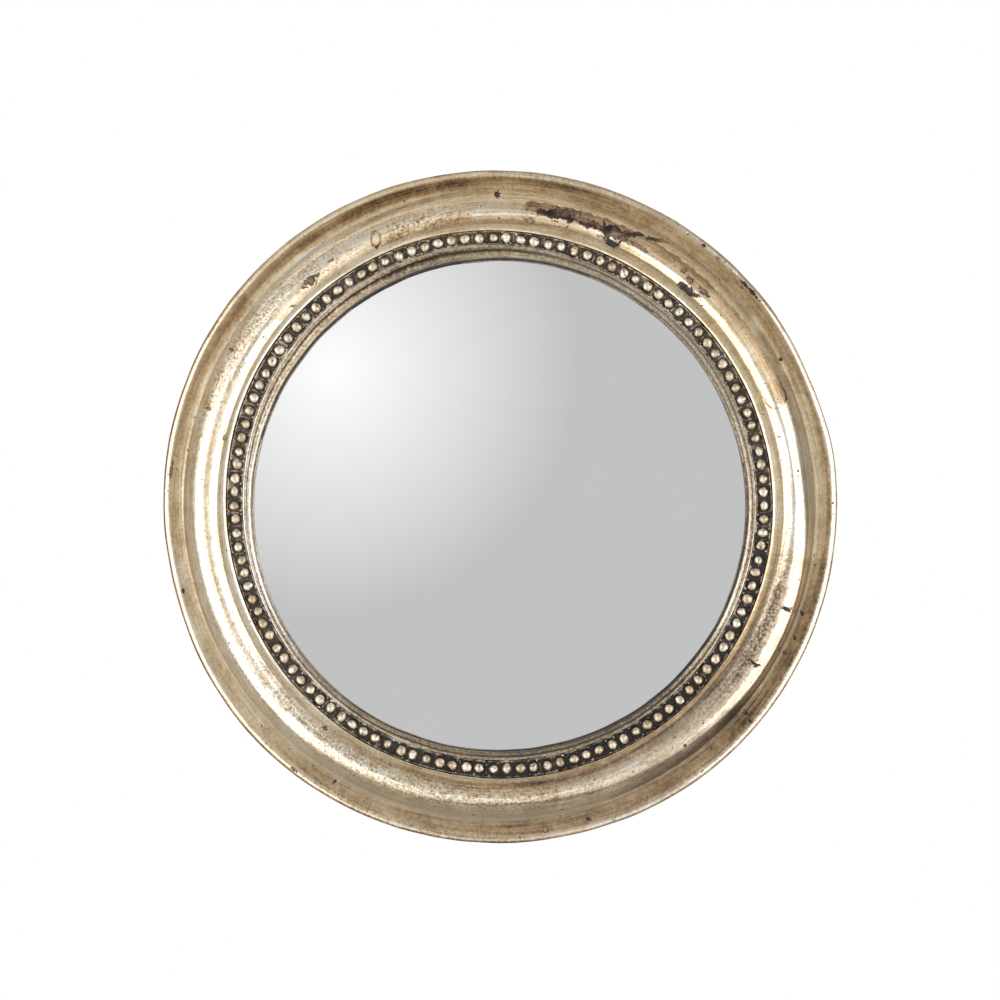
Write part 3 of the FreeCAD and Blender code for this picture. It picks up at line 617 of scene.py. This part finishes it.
# Patina and painted light, first what is pale: rounded edges, the roll, the rim, the band, parts of the
# dish, and the lip at its left, lower right and top, where the paleness is a painted highlight.
headings = np.unwrap(np.arctan2(*np.gradient(section_mm, axis=0).T[::-1]))
bends = np.degrees(np.gradient(headings)) / np.gradient(run_mm)
rounding = np.clip(bends / 60, 0, 1)[rows]
rubbed_roll = on_ring(130.5, 3.6)
rubbed_rim = np.clip((true_r - RIM_FROM_MM) / 0.6, 0, 1)
rubbed_rim *= 0.7 - at_angles((147, 18, 0.4), (96, 24, -0.7), (325, 32, -0.5), (215, 45, 0.25))
pale_band = on_ring(122.4, 1.0) * (0.8 - at_angles((280, 40, 0.4)))
# Painted highlight: the lip is paler at its left, lower right and top.
lip_painted_highlight = on_lip * at_angles((190, 26, 0.9), (334, 14, 2.0), (82, 14, 0.5))
pale_dish = on_ring(142.6, 1.6) * at_angles((2, 13, 0.35))
pale = np.maximum.reduce([
    rounding, rubbed_roll * 0.75, rubbed_rim, pale_band, lip_painted_highlight, pale_dish, spots(PALED_MM)])

# Darkening: dirt in hollows, the channel and the quirk, on the fillet and parts of the lip and dish, in
# stains, and as brown lacquer on one leaf; a dark band under the fillet at the top and at the riser's foot at
# the lower right; and painted shade along the glass's edge and round the outer edge.
WALL_CLEAN_DEPTH_MM = 22.9
FILLET_CLEAN_MM = 113.1
EDGE_SHADED_MM = 149.0
hollowing = np.clip(-bends / 40, 0, 1)[rows]
in_channel = (true_r > CHANNEL_MM - 0.15) & (true_r < ARRIS_MM + 0.2)
in_channel &= true_d < np.where(true_r < BEAD_CIRCLE_MM, FILLET_DEPTH_MM - 0.25, WALL_CLEAN_DEPTH_MM)
in_quirk = (true_r > QUIRK_MM - 0.1) & (true_r < FILLET_MM + 0.2) & (true_d < FILLET_DEPTH_MM - 0.25)
on_fillet = (true_r > FILLET_MM - 0.2) & on_lip & (true_d > QUIRK_DEPTH_MM)
fillet_dirt = np.where(true_r < FILLET_CLEAN_MM, 0.5, 0.15) - at_angles((200, 35, 0.3))
under_fillet = on_ring(112.2, 0.5) * at_angles((119, 25, 0.72))
down_lip = np.where(true_r < QUIRK_MM, np.clip((QUIRK_DEPTH_MM - true_d) / 14, 0, 0.3), 0.0)
low_lip = on_lip * at_angles((32, 30, 0.17), (278, 26, 0.26), (150, 16, 0.1))
# Painted shade: a dark band on the lip along the glass's edge, strongest at the lower right.
glass_shade_to_mm = 110.7 + at_angles((350, 26, 0.4), (295, 22, 0.3), (212, 22, 0.25))
glass_edge_shade = np.clip((glass_shade_to_mm - true_r) / 0.25, 0, 1)
glass_edge_shade *= np.clip(0.12 + at_angles((335, 32, 0.55), (285, 20, 0.2)), 0, 0.7)
brown_dish = on_ring(145.2, 1.6) * at_angles((108, 9, 0.3), (138, 18, 0.36))
deep_riser = on_ring(139.2, 0.9) * at_angles((316, 16, 0.35))
# Painted shade: darker towards the outer edge, more so at the left.
edge_from_mm = EDGE_SHADED_MM - at_angles((215, 35, 0.4))
outer_edge_shade = np.clip((true_r - edge_from_mm) / 0.5, 0, 1) * (0.4 + at_angles((200, 40, 0.25)))
browned = np.clip((spots(BROWNED_MM, blunt=True) - 0.5) * 8 + 0.5, 0, 1)
browned *= 0.2 - at_angles((30, 10, 0.13))
darkening = np.maximum.reduce([
    hollowing * 0.2, in_channel * 0.72, in_quirk * 0.6, on_fillet * np.clip(fillet_dirt, 0, 1), under_fillet,
    down_lip, low_lip, glass_edge_shade, brown_dish, deep_riser, outer_edge_shade, browned, spots(STAINED_MM) * 0.3])

# Dust: a grey film on the riser and the lip, thinner on the lip where it is darkened under the fillet and by
# the painted shade along the glass, and on parts of the roll.
dusty_riser = np.interp(true_r, [135.5, 137.5, 139.6, 140.8, 142.0], [0, 0.6, 1, 1, 0])
dusty_riser *= np.clip(0.75 - at_angles((82, 44, 0.65), (312, 20, 0.5), (180, 25, 0.4)), 0, 1)
dusty_lip = on_lip * np.clip(0.3 - at_angles((190, 30, 0.25), (338, 18, 0.35), (45, 25, -0.25)), 0, 1)
dusty_lip *= np.clip(1 - 1.5 * (under_fillet + glass_edge_shade), 0, 1)
dust = np.maximum.reduce([dusty_riser, dusty_lip, spots(GREYED_MM) * 0.3])

# Tone: the lacquer is browner in places, mostly at the top and the lower right and less on the roll.
# Leaves are about 95 mm square: where the laps between them lie, and how much paler each next leaf is.
BROWNER_DEG = [
    (75, 40, 0.17), (106, 8, 0.12), (32, 9, 0.06), (318, 32, 0.24), (268, 30, 0.1), (222, 25, 0.05)]
LAPS_DEG = [19.8, 62.0, 101.0, 140.5, 187.0, 233.0, 280.7, 315.0, 350.5]
LEAF_TONES = [0.03, -0.02, -0.04, 0.03, -0.03, 0.02, -0.03, 0.0, -0.05, 0.03]
leaf_laid = np.take(LEAF_TONES, np.searchsorted(LAPS_DEG, angle_deg + 0.5 * np.sin(true_r * 1.3)))
tone = 0.7 - at_angles(*BROWNER_DEG) * (1 - 0.55 * rubbed_roll) + leaf_laid
keep_field(moulding.data, "patina_and_painted_light", "FLOAT_COLOR", [pale, darkening, tone, dust])

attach(moulding, "frame")
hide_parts(*[f"moulding_segment_{i}" for i in range(1, 7)])


# Bead course: a strip of chalk-and-glue composition pressed in a mould, bent into the channel and
# glued, then leafed with the frame. Dirt has filled its hollows and the beads' tops are rubbed.

BEADS = 122
BEAD_MM = 2.3
BED_DEPTH_MM = 21.4
BEAD_CENTRE_DEPTH_MM = 21.45
BED_STEPS = 4 * BEADS

# The bed's play in the channel, and the low kerb along each of its sides.
BED_PLAY_MM = 0.1
BED_KERB_MM = 0.35
KERB_TOP_MM = 0.5
KERB_FOOT_MM = 0.8


def rubbed_composition():
    """Silvered composition: pale champagne on the beads, red-brown bole where that is rubbed
    through, and grey-black dirt in the cells below."""
    material, tree, surface = new_material("composition_leafed_and_darkened")
    blot_mm, cloud_mm, grit_mm = 1.6, 7, 0.45
    clean_depth_mm, dirty_depth_mm = 22.7, 22.15
    place = object_mm(tree)
    depth = add(tree, "ShaderNodeSeparateXYZ", {0: place}, out=1)
    blots = add(tree, "ShaderNodeTexNoise", {
        "Vector": place, "Scale": 1 / blot_mm, "Detail": 4.0, "Roughness": 0.65})
    clouds = add(tree, "ShaderNodeTexNoise", {"Vector": place, "Scale": 1 / cloud_mm, "Detail": 3.0})
    grit = add(tree, "ShaderNodeTexNoise", {"Vector": place, "Scale": 1 / grit_mm, "Detail": 3.0})
    outward = add(tree, "ShaderNodeAttribute", out="Fac", attribute_name="outward")
    soot = add(tree, "ShaderNodeAttribute", out="Fac", attribute_name="soot")
    level = weighed(tree, depth, [(blots, -1.4), (outward, -0.45), (soot, 0.2)])
    darkening = add(tree, "ShaderNodeMapRange", {
        "Value": level, "From Min": -clean_depth_mm, "From Max": -dirty_depth_mm})
    silver = add(tree, "ShaderNodeValToRGB", {0: clouds}, stops=[
        (0.3, "B6A289"), (0.45, "CEBDA2"), (0.6, "E6DBC8")])
    bole = add(tree, "ShaderNodeMapRange", {"Value": blots, "From Min": 0.57, "From Max": 0.64})
    top = add(tree, "ShaderNodeMix", {0: bole, 6: silver, 7: colour("8C6A58")}, out=2, data_type="RGBA")
    sooty = weighed(tree, grit, [(soot, -0.22)])
    black = add(tree, "ShaderNodeValToRGB", {0: sooty}, stops=[
        (0.35, "201C19"), (0.55, "463E36"), (0.75, "7C7162")])
    paint = add(tree, "ShaderNodeMix", {0: darkening, 6: top, 7: black}, out=2, data_type="RGBA")
    rough = add(tree, "ShaderNodeMapRange", {"Value": darkening, "To Min": 0.38, "To Max": 0.55})
    sheen = add(tree, "ShaderNodeMapRange", {"Value": darkening, "To Min": 1.0, "To Max": 0.3})
    bumps = add(tree, "ShaderNodeBump", {"Height": blots, "Strength": 1.0, "Distance": 0.00025})
    dress(tree, surface, {"Base Color": paint, "Metallic": sheen, "Roughness": rough, "Normal": bumps})
    return material


def bead_tree(material):
    """Stands beads round a circle on the bed that it is given, with a cross ridge between each two
    and four grains round each one, no two quite alike."""
    tree = tree_with_inputs("bead_course", {
        "Beads": "NodeSocketInt", "Bead radius": "NodeSocketFloat", "Circle radius": "NodeSocketFloat",
        "Bead depth": "NodeSocketFloat", "Bed depth": "NodeSocketFloat", "Channel width": "NodeSocketFloat",
        "Axis height": "NodeSocketFloat", "Unevenness": "NodeSocketFloat", "Seed": "NodeSocketInt"})
    given = add(tree, "NodeGroupInput").node.outputs
    index = add(tree, "GeometryNodeInputIndex")
    step = add(tree, "ShaderNodeMath", {0: 2 * math.pi, 1: given["Beads"]}, operation="DIVIDE")

    def course(shape, depth, radius, offset, smallest, largest, shift, lean, seed):
        """A shape for each bead, at a share of the pitch past it, with a drawn size, shift and lean."""
        count = add(tree, "GeometryNodeMeshLine", {"Count": given["Beads"]})
        turn = add(tree, "ShaderNodeMath", {0: index, 1: offset}, operation="ADD")
        angle = add(tree, "ShaderNodeMath", {0: turn, 1: step}, operation="MULTIPLY")
        behind = add(tree, "ShaderNodeMath", {0: depth, 1: -1.0}, operation="MULTIPLY")
        spot = add(tree, "ShaderNodeCombineXYZ", {"X": radius, "Y": behind})
        spot = carried_round(tree, spot, angle, given["Axis height"])
        drawn = add(tree, "FunctionNodeRandomValue", {
            0: (-shift,) * 3, 1: (shift,) * 3, "Seed": given["Seed"]}, data_type="FLOAT_VECTOR")
        spot = add(tree, "ShaderNodeVectorMath", {0: spot, 1: drawn}, operation="ADD")
        points = add(tree, "GeometryNodeSetPosition", {"Geometry": count, "Position": spot})
        other = add(tree, "FunctionNodeIntegerMath", {0: given["Seed"], 1: seed}, operation="ADD")
        leaning = add(tree, "FunctionNodeRandomValue", {
            0: (-lean,) * 3, 1: (lean,) * 3, "Seed": other}, data_type="FLOAT_VECTOR")
        facing = add(tree, "ShaderNodeMath", {0: angle, 1: -1.0}, operation="MULTIPLY")
        facing = add(tree, "ShaderNodeCombineXYZ", {"Y": facing})
        facing = add(tree, "ShaderNodeVectorMath", {0: facing, 1: leaning}, operation="ADD")
        sizes = add(tree, "FunctionNodeRandomValue", {
            0: smallest, 1: largest, "Seed": other}, data_type="FLOAT_VECTOR")
        return add(tree, "GeometryNodeInstanceOnPoints", {
            "Points": points, "Instance": shape, "Rotation": facing, "Scale": sizes})

    ball = add(tree, "GeometryNodeMeshUVSphere", {"Segments": 14, "Rings": 8, "Radius": given["Bead radius"]})
    ball = add(tree, "GeometryNodeTransform", {"Geometry": ball, "Rotation": (math.pi / 2, 0, 0)})
    outward = add(tree, "ShaderNodeSeparateXYZ", {0: add(tree, "GeometryNodeInputPosition")})
    outward = add(tree, "ShaderNodeMath", {0: outward, 1: given["Bead radius"]}, operation="DIVIDE")
    for label, value in (("in_bead", 1.0), ("outward", outward)):
        ball = add(tree, "GeometryNodeStoreNamedAttribute", {"Geometry": ball, "Name": label, "Value": value},
                   data_type="FLOAT", domain="POINT")
    beads = course(ball, given["Bead depth"], given["Circle radius"], offset=0.0, smallest=(0.9, 0.84, 0.9),
                   largest=(1.16, 1.02, 1.16), shift=0.0003, lean=0.15, seed=1)

    crumb = 0.0005
    ridge_clear = 1.1
    ridge = add(tree, "GeometryNodeMeshUVSphere", {"Segments": 8, "Rings": 6, "Radius": crumb})
    ridge_reach = add(tree, "ShaderNodeMath", {
        0: given["Channel width"], 1: 2 * crumb * ridge_clear}, operation="DIVIDE")
    ridge_size = add(tree, "ShaderNodeCombineXYZ", {"X": ridge_reach, "Y": 0.9, "Z": 0.7})
    ridge = add(tree, "GeometryNodeTransform", {"Geometry": ridge, "Scale": ridge_size})
    ridges = course(ridge, given["Bed depth"], given["Circle radius"], offset=0.5, smallest=(0.8, 0.1, 0.8),
                    largest=(1.0, 0.35, 1.6), shift=0.00015, lean=0.06, seed=2)

    grain = add(tree, "GeometryNodeMeshUVSphere", {"Segments": 6, "Rings": 4, "Radius": crumb})
    grain_circles = []
    for side in (-0.36, 0.36):
        circle = add(tree, "ShaderNodeMath", {
            0: given["Channel width"], 1: side, 2: given["Circle radius"]}, operation="MULTIPLY_ADD")
        for offset in (-0.33, 0.33):
            grain_circles.append(course(
                grain, given["Bed depth"], circle, offset, smallest=(0.5, 0.4, 0.5), largest=(1.3, 1.2, 1.5),
                shift=0.0003, lean=0.4, seed=3 + len(grain_circles)))

    together = add(tree, "GeometryNodeJoinGeometry")
    for part in [given["Geometry"], beads, ridges] + grain_circles:
        tree.links.new(part, together.node.inputs[0])
    real = add(tree, "GeometryNodeRealizeInstances", {"Geometry": together})
    lump_size = 0.0022
    lumps = add(tree, "ShaderNodeTexNoise", {"Scale": 1 / lump_size, "Detail": 2.0})
    smooth = roughened(tree, real, lumps, given["Unevenness"])
    coated = add(tree, "GeometryNodeSetMaterial", {"Geometry": smooth, "Material": material})
    add(tree, "NodeGroupOutput", {"Geometry": coated})
    return tree


composition = rubbed_composition()
half_bed_mm = (ARRIS_MM - CHANNEL_MM) / 2 - BED_PLAY_MM
half_section_mm = [
    (half_bed_mm, CHANNEL_DEPTH_MM), (half_bed_mm, BED_DEPTH_MM + BED_KERB_MM),
    (half_bed_mm - KERB_TOP_MM, BED_DEPTH_MM + BED_KERB_MM), (half_bed_mm - KERB_FOOT_MM, BED_DEPTH_MM)]
bed_section_mm = [(BEAD_CIRCLE_MM + x, depth) for x, depth in half_section_mm]
bed_section_mm += [(BEAD_CIRCLE_MM - x, depth) for x, depth in half_section_mm[::-1]]
bed = turned_piece("bead_bed", bed_section_mm + bed_section_mm[:1], composition, BED_STEPS)
beads = made_mesh("bead_course", bed.data, bead_tree(composition), {
    "Beads": BEADS, "Bead radius": BEAD_MM / 1000, "Circle radius": BEAD_CIRCLE_MM / 1000,
    "Bead depth": BEAD_CENTRE_DEPTH_MM / 1000, "Bed depth": BED_DEPTH_MM / 1000,
    "Channel width": (ARRIS_MM - CHANNEL_MM) / 1000, "Axis height": AXIS_Z, "Unevenness": 0.0015, "Seed": 7})
bpy.data.objects.remove(bed)
let_wander(beads.data, kept_field(beads.data, "in_bead") > 0.5, BEAD_CIRCLE_MM)
sooted_beads = np.clip(swells(ring_places(beads.data)[2], [(300, 46, 1.0)]), 0, 1)
keep_field(beads.data, "soot", "FLOAT", [sooted_beads])
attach(beads, "frame")
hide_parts("bead_strip_1", "bead_strip_2")


# Back layer: six more segments behind the moulding, sawn from stained pine with their grain along
# each piece and glued with the joints staggered. The drilled shapes stay as they are.

BACK_JOINT_DEG = 50.0
SEGMENTS = 6
SEGMENT_DEG = 360 / SEGMENTS


def coat_nodes(material, *names):
    """Gives CAD nodes that keep their shape a better material."""
    for name in names:
        for held in frame["nodes"][name].material_slots:
            held.material = material


def stained_pine(along_deg):
    """Pine under an old brown stain: darker winter grain in long streaks, dusty and scuffed paler."""
    material, tree, surface = new_material("stained_pine")
    fibre_mm, pore_mm, dust_mm = (60, 2.2, 2.2), (7, 0.35, 0.35), 24
    fibres = add(tree, "ShaderNodeTexNoise", {
        "Vector": object_mm(tree, along_deg, fibre_mm), "Scale": 1.0, "Detail": 6.0, "Distortion": 0.4})
    pores = add(tree, "ShaderNodeTexNoise", {
        "Vector": object_mm(tree, along_deg, pore_mm), "Scale": 1.0, "Detail": 3.0})
    dust = add(tree, "ShaderNodeTexNoise", {"Vector": object_mm(tree), "Scale": 1 / dust_mm, "Detail": 5.0})
    shade = weighed(tree, -0.4, [(fibres, 1.0), (pores, 0.35), (dust, 0.45)])
    paint = add(tree, "ShaderNodeValToRGB", {0: shade}, stops=[
        (0.25, "3E2A1C"), (0.42, "654729"), (0.58, "8A653E"), (0.75, "B08D63")])
    rough = weighed(tree, 0.5, [(dust, 0.35)])
    bumps = add(tree, "ShaderNodeBump", {"Height": pores, "Strength": 0.8, "Distance": 0.00025})
    dress(tree, surface, {"Base Color": paint, "Roughness": rough, "Normal": bumps})
    return material


for i in range(SEGMENTS):
    middle_deg = BACK_JOINT_DEG + (i + 0.5) * SEGMENT_DEG
    coat_nodes(stained_pine(middle_deg + 90), f"back_segment_{i + 1}")


# Felt bedding: a wedge-shaped ring of black wool felt, cut from sheet and glued in the rebate, so that
# the glass doesn't grate on the wood.

def wool_felt():
    """Black felt: near-black matted wool with grey fluff."""
    material, tree, surface = new_material("black_wool_felt")
    fluff_mm = 0.5
    fluff = add(tree, "ShaderNodeTexNoise", {"Vector": object_mm(tree), "Scale": 1 / fluff_mm, "Detail": 5.0})
    paint = add(tree, "ShaderNodeValToRGB", {0: fluff}, stops=[
        (0.4, "141312"), (0.6, "2A2826"), (0.75, "4A4743")])
    bumps = add(tree, "ShaderNodeBump", {"Height": fluff, "Strength": 1.0, "Distance": 0.0003})
    dress(tree, surface, {"Base Color": paint, "Roughness": 0.95, "Sheen Weight": 0.4, "Normal": bumps})
    return material


coat_nodes(wool_felt(), "felt_bedding")


# Glass: a domed disc of 3 mm glass, slumped over a mould and silvered on its back. It lies in the
# rebate between the felt and the spacer ring.

GLASS_SPHERE_MM = 600.0
GLASS_THICK_MM = 3.0
GLASS_EDGE_MM = 115.5
BEDDING_GAP_MM = 0.6
FRONT_POINTS = 40
BACK_POINTS = 12
GLASS_STEPS = 240
sphere_centre_mm = SEAT_DEPTH_MM - BEDDING_GAP_MM - math.sqrt(GLASS_SPHERE_MM**2 - SIGHT_MM**2)


def silvered_glass():
    """Glass silvered on its back: a clean bright mirror with the faintest haze on it."""
    material, tree, surface = new_material("silvered_glass")
    haze_mm = 30
    haze = add(tree, "ShaderNodeTexNoise", {"Vector": object_mm(tree), "Scale": 1 / haze_mm, "Detail": 3.0})
    tint = add(tree, "ShaderNodeValToRGB", {0: haze}, stops=[(0.3, "EFF0F0"), (0.7, "F1F1F1")])
    rough = add(tree, "ShaderNodeMapRange", {"Value": haze, "To Min": 0.015, "To Max": 0.03})
    dress(tree, surface, {"Base Color": tint, "Metallic": 1.0, "Roughness": rough})
    return material


def dome_mm(sphere_mm, radii):
    """Points of a dome of that radius, at the given distances from the mirror's axis."""
    return [(r, sphere_centre_mm + math.sqrt(sphere_mm**2 - r**2)) for r in radii]


glass_section_mm = dome_mm(GLASS_SPHERE_MM, np.linspace(0, GLASS_EDGE_MM, FRONT_POINTS))
glass_section_mm += dome_mm(GLASS_SPHERE_MM - GLASS_THICK_MM, np.linspace(GLASS_EDGE_MM, 0, BACK_POINTS))
glass = turned_piece("silvered_glass", glass_section_mm, silvered_glass(), GLASS_STEPS)
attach(glass, "frame")
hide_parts("convex_glass")


# Spacer ring and backboard: a ring of pasteboard that presses on the back of the glass, and a disc
# of hardboard that closes the rebate.

def pressed_fibre(name, darkest, middle, palest, fibre_mm):
    """Pressed fibre board: matted short fibres, blotched by damp, with rubbed paler patches."""
    material, tree, surface = new_material(name)
    damp_mm = 38
    mat = add(tree, "ShaderNodeTexNoise", {
        "Vector": object_mm(tree), "Scale": 1 / fibre_mm, "Detail": 5.0, "Distortion": 1.2})
    damp = add(tree, "ShaderNodeTexNoise", {"Vector": object_mm(tree), "Scale": 1 / damp_mm, "Detail": 6.0})
    shade = weighed(tree, -0.35, [(mat, 0.9), (damp, 0.8)])
    paint = add(tree, "ShaderNodeValToRGB", {0: shade}, stops=[(0.3, darkest), (0.5, middle), (0.72, palest)])
    rough = weighed(tree, 0.45, [(damp, 0.4)])
    bumps = add(tree, "ShaderNodeBump", {"Height": mat, "Strength": 0.7, "Distance": 0.00015})
    dress(tree, surface, {"Base Color": paint, "Roughness": rough, "Normal": bumps})
    return material


coat_nodes(pressed_fibre("pasteboard", "6E5B42", "8A7555", "A8946F", 1.4), "spacer_ring")
coat_nodes(pressed_fibre("hardboard", "4A301C", "6B472A", "8C6440", 0.7), "backboard")


# Turn buttons, the ring hanger and their screws: stamped and bent sheet brass, brass wire and slotted
# round-headed brass screws, driven into the back layer.

def dulled_brass():
    """Old sheet brass: warm yellow metal gone brown in patches, with fine scratches."""
    material, tree, surface = new_material("dulled_brass")
    tarnish_mm, scratch_mm, scratch_deg = 5, (6, 6, 0.18), 35
    tarnish = add(tree, "ShaderNodeTexNoise", {
        "Vector": object_mm(tree), "Scale": 1 / tarnish_mm, "Detail": 6.0})
    scratches = add(tree, "ShaderNodeTexNoise", {
        "Vector": object_mm(tree, scratch_deg, scratch_mm), "Scale": 1.0, "Detail": 3.0})
    shade = weighed(tree, -0.15, [(tarnish, 1.0), (scratches, 0.3)])
    paint = add(tree, "ShaderNodeValToRGB", {0: shade}, stops=[
        (0.3, "6A4F2A"), (0.45, "A5823F"), (0.6, "CDAE62"), (0.75, "E3CB8A")])
    rough = weighed(tree, 0.1, [(tarnish, 0.55)])
    bumps = add(tree, "ShaderNodeBump", {"Height": scratches, "Strength": 0.5, "Distance": 0.00004})
    dress(tree, surface, {"Base Color": paint, "Metallic": 1.0, "Roughness": rough, "Normal": bumps})
    return material


coat_nodes(dulled_brass(), *[f"turn_button_{i}" for i in range(1, 5)], "turn_button_screws",
           "hanger_strap", "hanger_ring", "hanger_screw")


# Wall bumpers: two round pads cut from cork sheet and glued to the lower back, so that the mirror
# hangs clear of the wall.

def cork_sheet():
    """Agglomerated cork: tan granules a millimetre or two across, with dark gaps and flecks."""
    material, tree, surface = new_material("cork")
    granule_mm = 1.3
    granule = add(tree, "ShaderNodeTexVoronoi", {
        "Vector": object_mm(tree), "Scale": 1 / granule_mm}, out="Distance")
    kind = add(tree, "ShaderNodeSeparateColor", {0: granule.node.outputs["Color"]})
    shade = weighed(tree, 0.1, [(kind, 0.7), (granule, -0.25)])
    paint = add(tree, "ShaderNodeValToRGB", {0: shade}, stops=[
        (0.0, "4B3220"), (0.2, "9C744A"), (0.5, "BC9566"), (0.8, "D2B083")])
    bumps = add(tree, "ShaderNodeBump", {"Height": granule, "Strength": 0.6, "Distance": 0.0002}, invert=True)
    dress(tree, surface, {"Base Color": paint, "Roughness": 0.85, "Normal": bumps})
    return material


coat_nodes(cork_sheet(), "wall_bumper_left", "wall_bumper_right")


# Studio: a pale floor, a white ground behind the mirror, a grey room in front of it with one soft
# glow, and a tall soft box on each side.

GLOW_ROUND_DEG = 135.0
GLOW_OFF_DEG = 22.3
GLOW_SPREAD_DEG = 22.7
ROOM_LEVEL = 0.615
GLOW_LEVEL = 0.53
FLOOR_LEVEL = 1.15
LIT_LEVEL = 0.36

world = bpy.data.worlds.new("studio")
bpy.context.scene.world = world
world.use_nodes = True
sky = world.node_tree
sky.nodes.clear()

# What mirrors see: a grey front with the glow, a pale floor below it, sides that are paler higher up,
# and white well behind.
look = add(sky, "ShaderNodeTexCoord", out="Generated")
round_rad = math.radians(GLOW_ROUND_DEG)
off_rad = math.radians(GLOW_OFF_DEG)
glow_way = (
    math.sin(off_rad) * math.cos(round_rad), -math.cos(off_rad), math.sin(off_rad) * math.sin(round_rad))
cosine = add(sky, "ShaderNodeVectorMath", {0: look, 1: glow_way}, out="Value", operation="DOT_PRODUCT")
away = add(sky, "ShaderNodeMath", {0: cosine}, operation="ARCCOSINE")
glow = add(sky, "ShaderNodeMapRange", {
    "Value": away, "From Min": 0.0, "From Max": math.radians(GLOW_SPREAD_DEG),
    "To Min": ROOM_LEVEL + GLOW_LEVEL, "To Max": ROOM_LEVEL})
way_x, way_y, way_z = add(sky, "ShaderNodeSeparateXYZ", {0: look}).node.outputs
front = add(sky, "ShaderNodeMapRange", {
    "Value": way_z, "From Min": -0.42, "From Max": -0.58, "To Min": glow, "To Max": FLOOR_LEVEL})
height_level = add(sky, "ShaderNodeMapRange", {
    "Value": way_z, "From Min": 0.3, "From Max": 0.7, "To Min": 0.45, "To Max": 1.0})
side_level = weighed(sky, height_level, [(way_x, -0.13)])
side = add(sky, "ShaderNodeMapRange", {
    "Value": way_y, "From Min": -0.4, "From Max": -0.1, "To Min": front, "To Max": side_level})
room = add(sky, "ShaderNodeMapRange", {
    "Value": way_y, "From Min": 0.5, "From Max": 0.85, "To Min": side, "To Max": 1.0})

# Mirrors see the room, the camera sees white, and the light on matt surfaces is even.
rays = add(sky, "ShaderNodeLightPath", out="Is Camera Ray")
ray_kinds = rays.node.outputs
mirrored = add(sky, "ShaderNodeMath", {
    0: ray_kinds["Is Glossy Ray"], 1: ray_kinds["Is Transmission Ray"]}, operation="MAXIMUM")
lit = add(sky, "ShaderNodeMix", {0: mirrored, 2: LIT_LEVEL, 3: room}, data_type="FLOAT")
strength = add(sky, "ShaderNodeMix", {0: rays, 2: lit, 3: 1.0}, data_type="FLOAT")
ground = add(sky, "ShaderNodeBackground", {"Color": (1, 1, 1, 1), "Strength": strength})
add(sky, "ShaderNodeOutputWorld", {"Surface": ground})

# The floor glows a little for the camera, and mirrors see the drawn room's floor instead of it.
FLOOR_DROP = 0.9
FLOOR_HALF = 3.0
FLOOR_GLOW = 0.55
floor_mesh = bpy.data.meshes.new("studio_floor")
corners = [(x * FLOOR_HALF, y * FLOOR_HALF, -FLOOR_DROP) for x, y in ((-1, -1), (1, -1), (1, 1), (-1, 1))]
floor_mesh.from_pydata(corners, [], [(0, 1, 2, 3)])
floor = placed("studio_floor", floor_mesh)
paper, paper_tree, paper_surface = new_material("white_paper")
seen = add(paper_tree, "ShaderNodeLightPath", out="Is Camera Ray")
seen = add(paper_tree, "ShaderNodeMath", {0: seen, 1: FLOOR_GLOW}, operation="MULTIPLY")
dress(paper_tree, paper_surface, {"Base Color": colour("F4F4F2"), "Roughness": 0.9,
                                  "Emission Color": colour("FFFFFF"), "Emission Strength": seen})
floor_mesh.materials.append(paper)
floor.visible_glossy = False


def soft_box(name, azimuth_deg, elevation_deg, distance, width, height, power):
    """A rectangular lamp that faces the mirror, off to one side of the camera."""
    lamp = bpy.data.lights.new(name, "AREA")
    lamp.shape = "RECTANGLE"
    lamp.size = width
    lamp.size_y = height
    lamp.energy = power
    holder = placed(name, lamp)
    a, e = math.radians(azimuth_deg), math.radians(elevation_deg)
    way = Vector((math.sin(a) * math.cos(e), -math.cos(a) * math.cos(e), math.sin(e)))
    holder.location = way * distance + Vector((0, 0, AXIS_Z))
    holder.rotation_mode = "QUATERNION"
    holder.rotation_quaternion = way.to_track_quat("Z", "Y")
    holder.visible_camera = False


soft_box("soft_box_left", azimuth_deg=-47, elevation_deg=-9, distance=1.3, width=0.9, height=1.8, power=9.5)
soft_box("soft_box_right", azimuth_deg=47, elevation_deg=-3, distance=1.3, width=0.9, height=1.5, power=8)

CAMERA_DISTANCE = 3.0
CAMERA_ELEVATION_DEG = -3.0
PICTURE_PX = 1000
FRAME_ACROSS_PX = 674.7
FRAME_CENTRE_PX = (500.0, 506.2)
RIM_FRONT = 0.017
picture_width = 2 * OUTER_MM / 1000 * PICTURE_PX / FRAME_ACROSS_PX
camera_data = bpy.data.cameras.new("camera")
camera_data.sensor_width = 36.0
camera_data.lens = camera_data.sensor_width * CAMERA_DISTANCE / picture_width
camera_data.shift_x = (PICTURE_PX / 2 - FRAME_CENTRE_PX[0]) / PICTURE_PX
camera_data.shift_y = (FRAME_CENTRE_PX[1] - PICTURE_PX / 2) / PICTURE_PX
camera = placed("camera", camera_data)
tilt = math.radians(CAMERA_ELEVATION_DEG)
camera_y = -RIM_FRONT - CAMERA_DISTANCE * math.cos(tilt)
camera.location = (0, camera_y, AXIS_Z + CAMERA_DISTANCE * math.sin(tilt))
camera.rotation_euler = (math.radians(90) - tilt, 0, 0)
bpy.context.scene.camera = camera
bpy.context.scene.view_settings.view_transform = "Standard"
